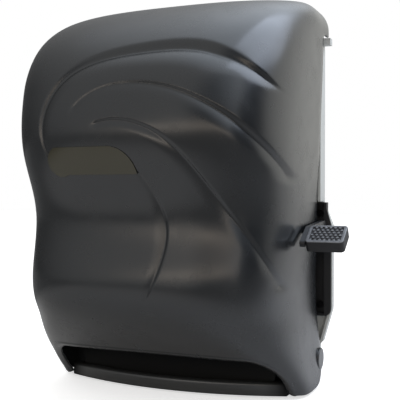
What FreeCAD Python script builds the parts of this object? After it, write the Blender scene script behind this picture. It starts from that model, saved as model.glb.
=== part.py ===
"""Lever roll-towel dispenser: a wall-mounted chassis, a drop-down cover and a lever-driven feed.

Millimetres. +X is the lever side, -Y is towards the room and +Z is up. The origin is the centre
of the back plate's wall face, so "deep" values are distances out from the wall, along -Y, and
"level" values are heights above or below the middle of the cover.
"""
import FreeCAD, Part
import Sketcher
import math
import os
import re
from FreeCAD import Placement, Rotation, Vector

doc = FreeCAD.newDocument("lever_towel_dispenser")

# ------------------------------------------------------------------ driving dimensions
DRIVING = [
    ("cover_tall", 419, "cover height, hem to crown"),
    ("hem_half", 147, "cover half width at the hem"),
    ("hem_deep", 103, "cover depth at the hem"),
    ("flare_rise", 44.5, "height of the flare above the hem"),
    ("flare_half", 142.5, "cover half width at the flare"),
    ("flare_deep", 159, "cover depth at the flare"),
    ("belly_level", -112, "level of the lower bulge"),
    ("belly_half", 138, "cover half width at the lower bulge"),
    ("belly_deep", 218, "cover depth at the lower bulge"),
    ("hip_level", -62, "level of the hip"),
    ("hip_half", 138.5, "cover half width at the hip"),
    ("hip_deep", 219, "cover depth at the hip"),
    ("waist_level", -15, "level of the waist"),
    ("waist_half", 139.5, "cover half width at the waist"),
    ("waist_deep", 215, "cover depth at the waist"),
    ("chest_level", 38, "level of the upper bulge"),
    ("chest_half", 142, "cover half width at the upper bulge"),
    ("chest_deep", 235, "cover depth at the upper bulge"),
    ("brow_level", 90, "level of the brow"),
    ("brow_half", 144, "cover half width at the brow"),
    ("brow_deep", 234, "cover depth at the brow"),
    ("temple_level", 150, "level of the temple"),
    ("temple_half", 146, "cover half width at the temple"),
    ("temple_deep", 209, "cover depth at the temple, before the crown rounds over"),
    ("crown_half", 147, "cover half width at the crown, before it rounds over"),
    ("crown_deep", 154, "cover depth at the crown, before it rounds over"),
    ("crown_side_round", 31, "rounding of the crown into the sides"),
    ("crown_front_round", 109, "rounding of the crown into the front"),
    ("corner_power", 4.3, "squareness of a level section: 2 is an ellipse"),
    ("crown_power", 2.2, "squareness of the section at the crown"),
    ("hem_power", 9, "squareness of the section at the hem"),
    ("hem_power_tall", 90, "height of the hem zone where the section grows squarer"),
    ("crown_power_tall", 62.5, "height of the crown zone where the section grows rounder"),
    ("cover_wall", 3, "wall of the cover"),
    ("rim_deep", 24, "distance of the cover's rear rim from the wall"),
    ("wrap_tall", 36.5, "height of the crown zone that reaches back to the wall"),
    ("wrap_gap", 0.5, "gap between the wrapped top and the wall"),
    ("rim_round", 8, "round where the rim turns into the wrapped top"),
    ("mouth_half", 128.5, "half width of the towel mouth in the cover"),
    ("mouth_rise", 41, "height of the towel mouth above the hem"),
    ("mouth_round", 28, "corner round of the towel mouth"),
    ("heel_round", 28, "round of the cover's lower rear corners"),
    ("relief", 1.2, "depth of the swept relief lines"),
    ("badge_left", -73, "left end of the blank badge place"),
    ("badge_right", 22, "right end of the blank badge place"),
    ("badge_low", 16, "lower edge of the blank badge place"),
    ("badge_high", 42, "upper edge of the blank badge place"),
    ("badge_thick", 0.8, "thickness of the blank badge"),
    ("back_thick", 3, "thickness of the back plate"),
    ("top_clear", 11.5, "distance of the back plate's top below the crown"),
    ("back_top_round", 40, "round of the back plate's top corners"),
    ("foot_clear", 4.5, "distance of the back plate's foot above the hem"),
    ("foot_rise", 37.5, "height above the hem where the back plate narrows to its foot"),
    ("back_rim_thick", 3, "wall of the back plate's side rims"),
    ("rim_gap", 3.5, "shadow gap between the two rims"),
    ("bulge_reach", 10.5, "how much wider the back plate is beside the lever"),
    ("bulge_deep", 9.5, "depth of the back plate's wall beside the lever"),
    ("bulge_foot", -176, "level where the bulge dies out"),
    ("lug_reach", 8, "reach of the locating lugs past the back plate"),
    ("lug_tall", 7.5, "height of the locating lugs"),
    ("screw_span", 180, "distance between the wall screws, across"),
    ("screw_rise", 260, "distance between the wall screws, up"),
    ("screw_hole_r", 3.2, "radius of the wall screw holes"),
    ("screw_boss_r", 9, "radius of the bosses round the wall screw holes"),
    ("screw_boss_tall", 2.5, "height of those bosses"),
    ("frame_thick", 3, "thickness of the side frames"),
    ("flange_wide", 14, "width of the side frames' flanges"),
    ("lever_deep", 21.5, "lever axis, distance from the wall"),
    ("lever_level", -40, "lever axis, level"),
    ("lever_shaft_r", 4, "radius of the lever shaft"),
    ("gear_module", 2, "module of the lever sector and pinion"),
    ("sector_teeth", 84, "teeth of the sector if it were a full wheel"),
    ("pinion_teeth", 16, "teeth of the pinion"),
    ("gear_wide", 6, "face width of the gears"),
    ("gear_gap", 3, "gap between the side frame and the gears"),
    ("backlash", 0.5, "play between the gear teeth"),
    ("mesh_drop", 39.7, "angle of the feed axis below the lever axis, degrees"),
    ("press_swing", 48, "travel of the lever, degrees"),
    ("feed_shaft_r", 4, "radius of the feed shaft"),
    ("feed_core_r", 12, "radius of the feed roller's core"),
    ("feed_sleeve_r", 18, "radius of the feed roller's rubber sleeves"),
    ("pinch_shaft_r", 3, "radius of the pinch roller's shaft"),
    ("pinch_sleeve_r", 9, "radius of the pinch roller's sleeves"),
    ("sleeve_long", 48, "length of each rubber sleeve"),
    ("sleeve_pitch", 68, "distance from sleeve to sleeve"),
    ("nip_gap", 0.4, "room for the towel between the rollers"),
    ("nip_drop", 35, "angle of the pinch roller below and behind the feed roller, degrees"),
    ("running", 0.05, "radial clearance of shafts in their bores"),
    ("bush_wall", 2.5, "wall of the bearing bushes"),
    ("bush_flange", 1.2, "thickness of the bushes' flanges"),
    ("knob_r", 17, "radius of the hand knob"),
    ("knob_wide", 11, "width of the hand knob"),
    ("ledge_proud", 21, "how far the chute pan's middle reaches past the cover's hem"),
    ("ledge_tall", 14, "height of the chute pan's front ledge"),
    ("ledge_thick", 4.5, "wall of the ledge"),
    ("ledge_round", 4, "round of the ledge's top front edge"),
    ("ledge_bow", 24, "bow of the ledge from its middle to its ends"),
    ("sheet_thick", 2.5, "wall of the chute pan, guide and lever housing"),
    ("tear_thick", 1.2, "thickness of the tear bar"),
    ("tear_tall", 24, "height of the tear bar"),
    ("tooth_pitch", 4, "pitch of the tear bar's teeth"),
    ("tooth_tall", 2.6, "height of the tear bar's teeth"),
    ("hinge_deep", 31, "cover hinge axis, distance from the wall"),
    ("hinge_rise", 26.5, "height of the cover hinge axis above the hem"),
    ("hinge_pin_r", 3, "radius of the cover's hinge pins"),
    ("hinge_ear_r", 12, "radius of the cover's round hinge ears"),
    ("ear_proud", 1.5, "how far the ears stand out from the cover's sides"),
    ("lip_deep", 13, "front of the lever housing's lip"),
    ("lip_top", -12, "top of the lever housing's lip"),
    ("lip_foot", -139, "bottom of the lever housing's lip"),
    ("lip_wide", 8, "width of the lever housing's lip"),
    ("lip_round", 8, "lower corner of the lip"),
    ("arm_gap", 2, "gap between the cover's side and the lever arm"),
    ("arm_thick", 5.5, "thickness of the lever arm"),
    ("lever_hub_r", 8, "radius of the lever's hub"),
    ("pad_deep", 85, "rear edge of the lever pad's top face, distance from the wall"),
    ("pad_level", -34, "rear edge of the lever pad's top face, level"),
    ("pad_wide", 39, "width of the lever pad"),
    ("pad_long", 30, "length of the lever pad, rear to front"),
    ("pad_thick", 12, "thickness of the lever pad"),
    ("pad_tilt", 32.5, "fall of the lever pad towards the front, degrees"),
    ("pad_round", 4, "round of the lever pad's corners"),
    ("stud_r", 1.3, "radius of the pad's grip studs"),
    ("stud_pitch", 4.8, "distance between the grip studs"),
    ("stud_tall", 0.9, "height of the grip studs"),
    ("roll_r", 101, "radius of the largest towel roll"),
    ("roll_half", 101.5, "half width of the towel roll"),
    ("roll_deep", 110, "roll axis, distance from the wall"),
    ("roll_level", 75, "roll axis, level"),
    ("hub_nose_r", 18, "radius of the roll hubs' noses"),
    ("hub_nose_long", 15, "length of the roll hubs' noses"),
    ("hub_flange_r", 26, "radius of the roll hubs' flanges"),
    ("arm_plate", 4, "thickness of the roll arms"),
    ("arm_pin_deep", 16, "roll arm pin, distance from the wall"),
    ("arm_pin_r", 2.5, "radius of the roll arm pins"),
    ("knuckle_r", 6, "radius of the roll arms' knuckles"),
    ("arm_tall", 26, "height of the roll arms"),
    ("lock_deep", 26, "lock axis, distance from the wall"),
    ("lock_r", 9, "radius of the lock barrel"),
    ("lock_plug_r", 6, "radius of the lock's turning plug"),
    ("lock_tall", 20, "height of the lock barrel"),
    ("screw_r", 2, "radius of the chassis screws"),
    ("screw_head_r", 4, "radius of the chassis screws' heads"),
    ("screw_head_tall", 2.4, "height of the chassis screws' heads"),
]

sizes = doc.addObject("Spreadsheet::Sheet", "sizes")
for row, (alias, number, meaning) in enumerate(DRIVING, start=1):
    sizes.set(f"A{row}", alias)
    sizes.set(f"B{row}", str(number))
    sizes.set(f"C{row}", meaning)
    sizes.setAlias(f"B{row}", alias)
doc.recompute()

ALIASES = {alias for alias, _, _ in DRIVING}
PARTS = {}

# Sizes that follow from the driving ones.
FOLLOWING = {
    "flare_level": "flare_rise - cover_tall / 2",
    "mouth_level": "mouth_rise - cover_tall / 2",
    "hinge_level": "hinge_rise - cover_tall / 2",
    "foot_level": "foot_rise - cover_tall / 2",
    "back_foot": "foot_clear - cover_tall / 2",
    "back_top": "cover_tall / 2 - top_clear",
    "wrap_level": "cover_tall / 2 - wrap_tall",
    "crown_power_level": "cover_tall / 2 - crown_power_tall",
    "hem_power_level": "hem_power_tall - cover_tall / 2",
    "back_half": "crown_half - cover_wall - 2",
    "foot_half": "hem_half - 3 * cover_wall",
    "bulge_half": "back_half + bulge_reach",
    "lip_half": "bulge_half - 0.5",
    "lip_inner": "lip_half - lip_wide",
    "arm_face": "waist_half + arm_gap",
    "frame_face": "roll_half + 12.5",
    "arm_pin_half": "roll_half + 15.5",
    "ledge_half": "mouth_half - 1.2",
    "ledge_deep": "hem_deep + ledge_proud",
    "tear_half": "frame_face - 6",
}


def expand(word):
    """One name of an expression, as the document understands it."""
    name = word[0]
    if name in FOLLOWING:
        return f"({bound(FOLLOWING[name])})"
    return "sizes." + name if name in ALIASES else name


def bound(text):
    """The expression with each size's name written the way the document refers to it."""
    return re.sub(r"[a-z_]+[a-z]", expand, text)


def mm(text):
    """The number that an expression of sizes gives now."""
    value = sizes.evalExpression(bound(str(text)))
    return float(getattr(value, "Value", value))


# ------------------------------------------------------------------ document helpers
def bind(item, **properties):
    """Ties properties of a document object to expressions of sizes."""
    for name, text in properties.items():
        item.setExpression(name.replace("_at_", "."), bound(str(text)))


def place(item, x, y, z):
    """Ties an object's position to expressions of sizes."""
    for axis, text in zip("xyz", (x, y, z)):
        item.setExpression(f"Placement.Base.{axis}", bound(str(text)))
    return item


def box(x_low, x_high, y_low, y_high, z_low, z_high):
    """A box between two corners, each coordinate an expression of sizes."""
    item = doc.addObject("Part::Box", "block")
    bind(item, Length=f"({x_high}) - ({x_low})", Width=f"({y_high}) - ({y_low})",
         Height=f"({z_high}) - ({z_low})")
    return place(item, x_low, y_low, z_low)


TURNS = {
    "X": Rotation(Vector(0, 1, 0), 90),
    "Y": Rotation(Vector(1, 0, 0), -90),
    "Z": Rotation(),
}


def rod(axis, x, y, z, radius, length):
    """A cylinder that starts at a point and runs along +X, +Y or +Z."""
    item = doc.addObject("Part::Cylinder", "rod")
    item.Placement = Placement(Vector(), TURNS[axis])
    bind(item, Radius=radius, Height=length)
    return place(item, x, y, z)


def join(*items):
    """One solid from several."""
    item = doc.addObject("Part::MultiFuse", "joined")
    item.Shapes = list(items)
    item.Refine = True
    return item


def cut(base, *tools):
    """The base with the tools taken out of it."""
    item = doc.addObject("Part::Cut", "cut")
    item.Base = base
    item.Tool = tools[0] if len(tools) == 1 else join(*tools)
    item.Refine = True
    return item


def group(*items):
    """Several separate solids that share one node."""
    item = doc.addObject("Part::Compound", "group")
    item.Links = list(items)
    return item


def solid(shape, placement=None):
    """A shape that Part's own functions made, as an object of the document."""
    item = doc.addObject("Part::Feature", "solid")
    item.Shape = shape
    if placement is not None:
        item.Placement = placement
    return item


def mirrored(item):
    """The left-hand twin of a right-hand piece."""
    twin = doc.addObject("Part::Mirroring", "twin")
    twin.Source = item
    twin.Base = Vector()
    twin.Normal = Vector(1, 0, 0)
    return twin


def part(name, item):
    """Names a finished piece; the name is also its file's name."""
    item.Label = name
    PARTS[name] = item
    return item


# ------------------------------------------------------------------ PartDesign helpers
def body(name):
    """An empty body whose name is its piece's name."""
    return part(name, doc.addObject("PartDesign::Body", name))


def sketch(owner, role, offset="0"):
    """A sketch on one of the body's own origin planes, moved along the plane's normal."""
    item = owner.newObject("Sketcher::SketchObject", "outline")
    plane = next(feature for feature in owner.Origin.OriginFeatures if feature.Role == role)
    item.AttachmentSupport = [(plane, "")]
    item.MapMode = "FlatFace"
    item.setExpression("AttachmentOffset.Base.z", bound(str(offset)))
    return item


def fix_point(item, geometry, position, across, up):
    """Ties a sketch point's two coordinates to expressions of sizes."""
    for kind, text in (("DistanceX", across), ("DistanceY", up)):
        index = item.addConstraint(Sketcher.Constraint(kind, -1, 1, geometry, position, mm(text)))
        item.setExpression(f"Constraints[{index}]", bound(str(text)))


def polygon(item, points):
    """A closed outline with each corner tied to expressions of sizes."""
    first = item.GeometryCount
    corners = [Vector(mm(across), mm(up), 0) for across, up in points]
    for start, end in zip(corners, corners[1:] + corners[:1]):
        item.addGeometry(Part.LineSegment(start, end))
    for index, (across, up) in enumerate(points):
        following = first + (index + 1) % len(points)
        item.addConstraint(Sketcher.Constraint("Coincident", first + index, 2, following, 1))
        fix_point(item, first + index, 1, across, up)


def circle(item, across, up, radius):
    """A circle with its centre and radius tied to expressions of sizes."""
    middle = Vector(mm(across), mm(up), 0)
    index = item.addGeometry(Part.Circle(middle, Vector(0, 0, 1), mm(radius)))
    fix_point(item, index, 3, across, up)
    number = item.addConstraint(Sketcher.Constraint("Radius", index, mm(radius)))
    item.setExpression(f"Constraints[{number}]", bound(str(radius)))


def pad(owner, profile, length, reverse=False):
    """Material along the sketch's normal."""
    item = owner.newObject("PartDesign::Pad", "pad")
    item.Profile = profile
    item.Reversed = reverse
    bind(item, Length=length)
    return item


def pocket(owner, profile, reverse=False):
    """A cut right through the body along the sketch's normal, both ways."""
    item = owner.newObject("PartDesign::Pocket", "pocket")
    item.Profile = profile
    item.Type = 1
    item.Midplane = True
    item.Reversed = reverse
    return item


# ------------------------------------------------------------------ outlines used by several pieces
HEM = "(-cover_tall / 2)"
CROWN = "(cover_tall / 2)"
REACH = 300


def wall_outline(points, rounds):
    """A closed wire parallel to the wall: corners given as (across, level), each with its round."""
    return rounded_wire([Vector(mm(x), 0, mm(z)) for x, z in points], [mm(r) for r in rounds])


def side_outline(points, rounds):
    """A closed wire square to the X axis: corners given as (deep, level), each with its round."""
    return rounded_wire([Vector(0, -mm(d), mm(z)) for d, z in points], [mm(r) for r in rounds])


def rounded_wire(corners, rounds):
    """Straight runs joined by arcs, or by plain corners where the round is nought."""
    edges = []
    ends = []
    count = len(corners)
    for index, corner in enumerate(corners):
        before = (corners[index - 1] - corner).normalize()
        after = (corners[(index + 1) % count] - corner).normalize()
        if rounds[index] <= 0:
            ends.append((corner, None, corner))
            continue
        half_angle = before.getAngle(after) / 2
        back = rounds[index] / math.tan(half_angle)
        to_centre = rounds[index] / math.sin(half_angle)
        inward = (before + after).normalize()
        middle = corner + inward * (to_centre - rounds[index])
        ends.append((corner + before * back, middle, corner + after * back))
    for index, (start, middle, end) in enumerate(ends):
        if middle is not None:
            edges.append(Part.Arc(start, middle, end).toShape())
        following = ends[(index + 1) % count][0]
        if end.distanceToPoint(following) > 1e-6:
            edges.append(Part.makeLine(end, following))
    return Part.Wire(edges)


def slab(wire, start, end, axis):
    """A closed wire's face, extruded between two places on the X or Y axis."""
    face = Part.Face(wire)
    face.translate(axis * start)
    return face.extrude(axis * (end - start))


def side_slab(points, rounds, x_low, x_high):
    """A plate square to the X axis."""
    return slab(side_outline(points, rounds), mm(x_low), mm(x_high), Vector(1, 0, 0))


def wall_slab(points, rounds, deep_near, deep_far):
    """A plate parallel to the wall, between two distances from it."""
    return slab(wall_outline(points, rounds), -mm(deep_near), -mm(deep_far), Vector(0, 1, 0))


def bar(axis, x, y, z, radius, length):
    """A plain cylinder shape along an axis vector."""
    return Part.makeCylinder(mm(radius), mm(length), Vector(mm(x), mm(y), mm(z)), axis)


# ------------------------------------------------------------------ cover
STATIONS = ["hem", "flare", "belly", "hip", "waist", "chest", "brow", "temple", "crown"]
RING_POINTS = 25


def station_level(name):
    """Height of one profile station; the hem and the crown follow from the cover's height."""
    ends = {"hem": HEM, "crown": CROWN}
    return mm(ends.get(name, name + "_level"))


def cover_profile():
    """Half width, depth and level of the cover as one smooth curve whose parameter is the level."""
    levels = [station_level(name) for name in STATIONS]
    points = [Vector(mm(name + "_half"), mm(name + "_deep"), level) for name, level in zip(STATIONS, levels)]
    curve = Part.BSplineCurve()
    curve.interpolate(Points=points, Parameters=levels)
    return curve


PROFILE = cover_profile()


def crown_inset(level, radius, top):
    """How far a quarter-round crown has drawn in at a level."""
    rise = max(0.0, level - (top - radius))
    return radius - math.sqrt(max(0.0, radius * radius - rise * rise))


def cover_size(level, inset):
    """Half width, depth and squareness of the level section, drawn in by an inset."""
    top = mm(CROWN) - inset
    here = PROFILE.value(min(max(level, mm(HEM)), mm(CROWN)))
    half = here.x - inset - crown_inset(level, mm("crown_side_round") - inset, top)
    deep = here.y - inset - crown_inset(level, mm("crown_front_round") - inset, top)
    share = max(0.0, level - mm("crown_power_level")) / (mm(CROWN) - mm("crown_power_level"))
    power = mm("corner_power") + (mm("crown_power") - mm("corner_power")) * share ** 2
    low_share = min(1.0, max(0.0, mm("hem_power_level") - level) / mm("hem_power_tall"))
    power += (mm("hem_power") - mm("corner_power")) * low_share ** 2 * (3 - 2 * low_share)
    return half, deep, power


def cover_section(level, inset, rear):
    """One level section: a superellipse in front of the rim, and straight sides behind it."""
    half, deep, power = cover_size(min(level, mm(CROWN) - inset), inset)
    rim = mm("rim_deep")
    front = []
    for index in range(RING_POINTS):
        angle = math.pi * index / (RING_POINTS - 1)
        across, out = math.cos(angle), math.sin(angle)
        reach = (abs(across) ** power + abs(out) ** power) ** (-1 / power)
        front.append(Vector(half * reach * across, -rim - (deep - rim) * reach * out, level))
    curve = Part.BSplineCurve()
    curve.interpolate(Points=front, Parameters=[float(index) for index in range(RING_POINTS)])
    right = Vector(half, -rear, level)
    left = Vector(-half, -rear, level)
    return Part.Wire([curve.toShape(), Part.makeLine(front[-1], left), Part.makeLine(left, right),
                      Part.makeLine(right, front[0])])


def cover_levels(inset, below):
    """Levels of the sections: even up to the crown, then closing in as the crown rounds over."""
    start = mm(HEM) - below
    top = mm(CROWN) - inset
    radius = mm("crown_front_round") - inset
    even = 13
    levels = [start + (top - radius - start) * index / even for index in range(even)]
    turns = (0, 16, 31, 43, 53, 62, 70, 77, 84, 90)
    return levels + [top - radius * (1 - math.sin(math.radians(turn))) for turn in turns]


def cover_form(inset, below=0, rear=None):
    """The closed solid whose skin is the cover's outer form, drawn in by an inset."""
    back = mm("wrap_gap") if rear is None else rear
    wires = [cover_section(level, inset, back) for level in cover_levels(inset, below)]
    return Part.makeLoft(wires, True, False)


# The swept relief lines of the front: points in hundredths of the brow's half width and of the
# cover's half height, and the greatest width in millimetres.
RELIEF_LINES = [
    ([(-47.2, 11.5), (-56.9, 28.6), (-38.9, 55.8), (12.5, 67.8), (66.0, 64.9), (99.3, 43.9)], 8),
    ([(-34.0, 35.3), (-13.9, 46.3), (17.4, 48.9), (60.4, 40.6), (86.8, 26.7), (97.2, 2.4)], 4),
    ([(-16.7, 30.1), (3.5, 32.5), (41.7, 21.5), (67.4, -2.9), (85.4, -23.4), (95.1, -47.3)], 4),
    ([(15.3, 10.5), (25.0, -0.5), (32.6, -15.8), (30.6, -31.5), (18.1, -50.1)], 3.5),
]


def crescent(points, width):
    """A sliver between a smooth line and its twin, which bows away from it and meets its ends."""
    wide, tall = mm("brow_half / 100"), mm("cover_tall / 200")
    line = [Vector(across * wide, 0, level * tall) for across, level in points]
    twin = [line[0]]
    last = len(line) - 1
    for index in range(1, last):
        along = (line[index + 1] - line[index - 1]).normalize()
        twin.append(line[index] + Vector(along.z, 0, -along.x) * width * math.sin(math.pi * index / last))
    twin.append(line[last])
    edges = []
    for route in (line, twin):
        curve = Part.BSplineCurve()
        curve.interpolate(route)
        edges.append(curve.toShape())
    face = Part.Face(Part.Wire(edges))
    face.translate(Vector(0, -REACH, 0))
    return face.extrude(Vector(0, REACH - mm("rim_deep"), 0))


def badge_outline():
    """The blank badge place: a round left end and a right end that sweeps down to a point."""
    left, right, low, high = (mm("badge_" + side) for side in ("left", "right", "low", "high"))
    tall = high - low
    upper_left = Vector(left + tall * 0.4, 0, high)
    middle_left = Vector(left, 0, low + tall * 0.62)
    lower_left = Vector(left + tall * 0.8, 0, low)
    upper_right = Vector(right - tall, 0, high)
    sweep = Vector(right - tall * 0.35, 0, low + tall * 0.72)
    point = Vector(right, 0, low)
    return Part.Wire([
        Part.Arc(lower_left, middle_left, upper_left).toShape(),
        Part.makeLine(upper_left, upper_right),
        Part.Arc(upper_right, sweep, point).toShape(),
        Part.makeLine(point, lower_left),
    ])


EAR_FACE = PROFILE.value(mm("hinge_level")).x
OUTER = cover_form(0)


def heel_tool():
    """What rounds off the cover's lower rear corners: a corner block without its round."""
    radius = mm("heel_round")
    rim = mm("rim_deep")
    hem = mm(HEM)
    block = Part.makeBox(2 * REACH, radius + 2, radius + 2, Vector(-REACH, -rim - radius, hem - 2))
    return block.cut(Part.makeCylinder(radius, 2 * REACH, Vector(-REACH, -rim - radius, hem + radius),
                                       Vector(1, 0, 0)))


RIGHTWARD = Vector(1, 0, 0)
UPWARD = Vector(0, 0, 1)
OUTWARD = Vector(0, -1, 0)


def hinge_ear(side):
    """A round ear outside the cover's wall, and the blind bore in it for the hinge pin."""
    along = RIGHTWARD * side
    foot = EAR_FACE - mm("cover_wall") - mm("ear_proud")
    tip = EAR_FACE + mm("ear_proud")
    centre = Vector(0, -mm("hinge_deep"), mm("hinge_level"))
    ear = Part.makeCylinder(mm("hinge_ear_r"), tip - foot, centre + along * foot, along)
    bore = Part.makeCylinder(mm("hinge_pin_r + running"), mm("cover_wall + ear_proud / 2"),
                             centre + along * foot, along)
    return ear, bore


LOCK_SEAT_R = "(lock_r + 5)"
LOCK_FACE = f"({CROWN} - 2.5)"
LOCK_FOOT = f"({LOCK_FACE} - lock_tall)"


def cover_shell():
    """The drop-down cover: a thin shell open at the back and below, with its mouth and hinge ears."""
    wall = mm("cover_wall")
    low = f"{HEM} - 2 * cover_wall"
    behind_rim = side_slab([("-2 * cover_wall", low), ("rim_deep", low), ("rim_deep", "wrap_level"),
                            ("-2 * cover_wall", "wrap_level")], ["0", "0", "rim_round", "0"],
                           str(-REACH), str(REACH))
    mouth = wall_slab([("-mouth_half", f"{low} - mouth_round"), ("mouth_half", f"{low} - mouth_round"),
                       ("mouth_half", "mouth_level"), ("-mouth_half", "mouth_level")],
                      ["0", "0", "mouth_round", "mouth_round"], "hinge_deep + hinge_ear_r", str(REACH))
    notch = bar(RIGHTWARD, "0", "-lever_deep", "lever_level", "lever_shaft_r + cover_wall", REACH)
    under_skin = cover_form(mm("relief"))
    lines = [crescent(points, width).cut(under_skin) for points, width in RELIEF_LINES]
    hollow = cover_form(wall, below=wall, rear=-wall)
    shell = OUTER.cut([hollow, behind_rim, mouth, heel_tool(), notch] + lines)
    for side in (-1, 1):
        ear, bore = hinge_ear(side)
        shell = shell.fuse(ear).cut(bore)
    lock_seat = bar(UPWARD, "0", "-lock_deep", f"{CROWN} - 3 * cover_wall", LOCK_SEAT_R, "2.5 * cover_wall")
    lock_recess = bar(UPWARD, "0", "-lock_deep", LOCK_FACE, f"{LOCK_SEAT_R} - 1", "cover_wall")
    lock_bore = bar(UPWARD, "0", "-lock_deep", LOCK_FOOT, "lock_r", "2 * lock_tall")
    return shell.fuse(lock_seat).cut(lock_recess.fuse(lock_bore)).removeSplitter()


def badge_shape():
    """The bare badge: a thin plate that follows the cover's skin."""
    blank = slab(badge_outline(), -REACH, -mm("rim_deep"), Vector(0, 1, 0))
    return blank.common(cover_form(-mm("badge_thick"))).cut(cover_form(-0.25))


part("cover", solid(cover_shell()))
part("badge_plate", solid(badge_shape()))


# ------------------------------------------------------------------ axes and levels
FLOOR = "back_thick"
BACK_RIM = "(rim_deep - rim_gap)"
BULGE_TOP = "(lip_top - (bulge_half - back_half) * 2.4)"
MESH_REACH = "((sector_teeth + pinion_teeth) * gear_module / 2 + backlash / 2)"
FEED_DEEP = f"(lever_deep + {MESH_REACH} * cos(mesh_drop * 1 deg))"
FEED_LEVEL = f"(lever_level - {MESH_REACH} * sin(mesh_drop * 1 deg))"
NIP_REACH = "(feed_sleeve_r + pinch_sleeve_r + nip_gap)"
PINCH_DEEP = f"({FEED_DEEP} - {NIP_REACH} * cos(nip_drop * 1 deg))"
PINCH_LEVEL = f"({FEED_LEVEL} - {NIP_REACH} * sin(nip_drop * 1 deg))"
FRAME_OUT = "(frame_face + frame_thick)"
FRAME_TOP = "(lever_level + 20)"
FRAME_FOOT = f"({FEED_LEVEL} - 66)"
FRAME_FRONT = f"({FEED_DEEP} + 30)"
GEAR_FACE = f"({FRAME_OUT} + gear_gap)"
GEAR_OUT = f"({GEAR_FACE} + gear_wide)"
GUARD_FACE = f"({GEAR_OUT} + 3.5)"
GUARD_OUT = f"({GUARD_FACE} + sheet_thick)"
FLANGE_MID = "(frame_face - flange_wide / 2)"
KNUCKLE_LOW = "(roll_level - arm_tall / 2)"
CATCH_FACE = "(lock_deep + 5.5)"

# Screws that hold the pieces on the back plate: across, level, and what each one clamps.
FLANGE_SCREWS = [f"{FRAME_TOP} - 12", f"{FEED_LEVEL} + 9", f"{FRAME_FOOT} + 12"]
BRACKET_SCREWS = ["roll_level - 10", "roll_level + 10"]
PLATE_SCREWS = [(f"{side} * {FLANGE_MID}", level, "frame_thick")
                for side in (-1, 1) for level in FLANGE_SCREWS]
PLATE_SCREWS += [(f"{side} * (arm_pin_half + 10.5)", level, "frame_thick")
                 for side in (-1, 1) for level in BRACKET_SCREWS]
PLATE_SCREWS += [(f"{side} * 60", "back_foot + 11", "sheet_thick") for side in (-1, 1)]
PLATE_SCREWS += [(f"{GUARD_OUT} + 6", "lip_top - 12", "sheet_thick"),
                 (f"{GUARD_OUT} + 6", "lip_foot + 12", "sheet_thick"),
                 ("36", f"{LOCK_FOOT} - 7", "frame_thick"), ("36", f"{LOCK_FOOT} + 3", "frame_thick")]


# ------------------------------------------------------------------ back plate
def back_outline():
    """Outline of the back plate: straight sides, a bulge beside the lever and a narrower foot."""
    right = [("foot_half", "back_foot"), ("foot_half", "foot_level"), ("back_half", "bulge_foot + 8"),
             ("bulge_half", "lip_foot + lip_round"), ("bulge_half", BULGE_TOP), ("back_half", "lip_top"),
             ("back_half", "back_top")]
    rounds = ["12", "3", "3", "20", "12", "12", "back_top_round"]
    left = [("-back_half", "back_top"), ("-back_half", "foot_level"), ("-foot_half", "foot_level - 4"),
            ("-foot_half", "back_foot")]
    return wall_outline(right + left, rounds + ["back_top_round", "1", "1", "12"])


def block(x_low, x_high, deep_low, deep_high, z_low, z_high):
    """A plain box shape, given by distances out from the wall."""
    low = Vector(mm(x_low), -mm(deep_high), mm(z_low))
    return Part.makeBox(mm(x_high) - low.x, mm(deep_high) - mm(deep_low), mm(z_high) - low.z, low)


def back_plate():
    """The moulded back plate: floor, side rims, screw bosses, locating lugs and hinge lugs."""
    outline = back_outline()
    plate = slab(outline, 0, -mm(FLOOR), Vector(0, 1, 0))
    inner = Part.Face(outline.makeOffset2D(-mm("back_rim_thick")))
    rims = Part.Face(outline).cut(inner).extrude(OUTWARD * mm(BACK_RIM))
    beside_lever = block("frame_face", REACH, "bulge_deep", REACH, "lip_foot - 1", "lip_top + 1")
    bulge_tail = block("back_half - back_rim_thick", REACH, "bulge_deep", REACH,
                       "bulge_foot - 12", "lip_foot + 2")
    housing_clear = block("frame_face", "lip_inner + sheet_thick + 0.5", FLOOR, REACH,
                          "lip_foot - 0.5", "lip_top + 0.5")
    foot_clear = block(-REACH, REACH, FLOOR, REACH, -REACH, "foot_level")
    lock_clear = block("-2 * lock_r", "2 * lock_r", FLOOR, REACH, LOCK_FOOT, REACH)
    plate = plate.fuse(rims.cut([beside_lever, bulge_tail, housing_clear, foot_clear, lock_clear]))
    lug = block("back_half - back_rim_thick", "back_half + lug_reach", "0", "bulge_deep",
                "wrap_level - lug_tall - 1.5", "wrap_level - 1.5")
    hinge_lug = side_slab([("back_thick - 0.5", "hinge_level - hinge_ear_r"),
                           ("hinge_deep + 9", "hinge_level - 9"), ("hinge_deep + 9", "hinge_level + 9"),
                           ("back_thick - 0.5", "hinge_level + hinge_ear_r + 6")], ["0", "8", "8", "0"],
                          "foot_half - 5", "foot_half")
    pin_hole = bar(RIGHTWARD, "foot_half - 6", "-hinge_deep", "hinge_level", "hinge_pin_r + running", "7")
    lugs = lug.fuse(hinge_lug.cut(pin_hole))
    plate = plate.fuse([lugs, lugs.mirror(Vector(), RIGHTWARD)])
    holes = []
    for x in ("-screw_span / 2", "screw_span / 2"):
        for z in ("-screw_rise / 2", "screw_rise / 2"):
            plate = plate.fuse(bar(OUTWARD, x, "0", z, "screw_boss_r", "back_thick + screw_boss_tall"))
            holes.append(bar(OUTWARD, x, "1", z, "screw_hole_r", "back_thick + screw_boss_tall + 2"))
    for x, z, _ in PLATE_SCREWS:
        holes.append(bar(OUTWARD, x, "1", z, "screw_r + running", "back_thick + 2"))
    return plate.cut(holes).removeSplitter()


part("back_plate", solid(back_plate()))


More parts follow.
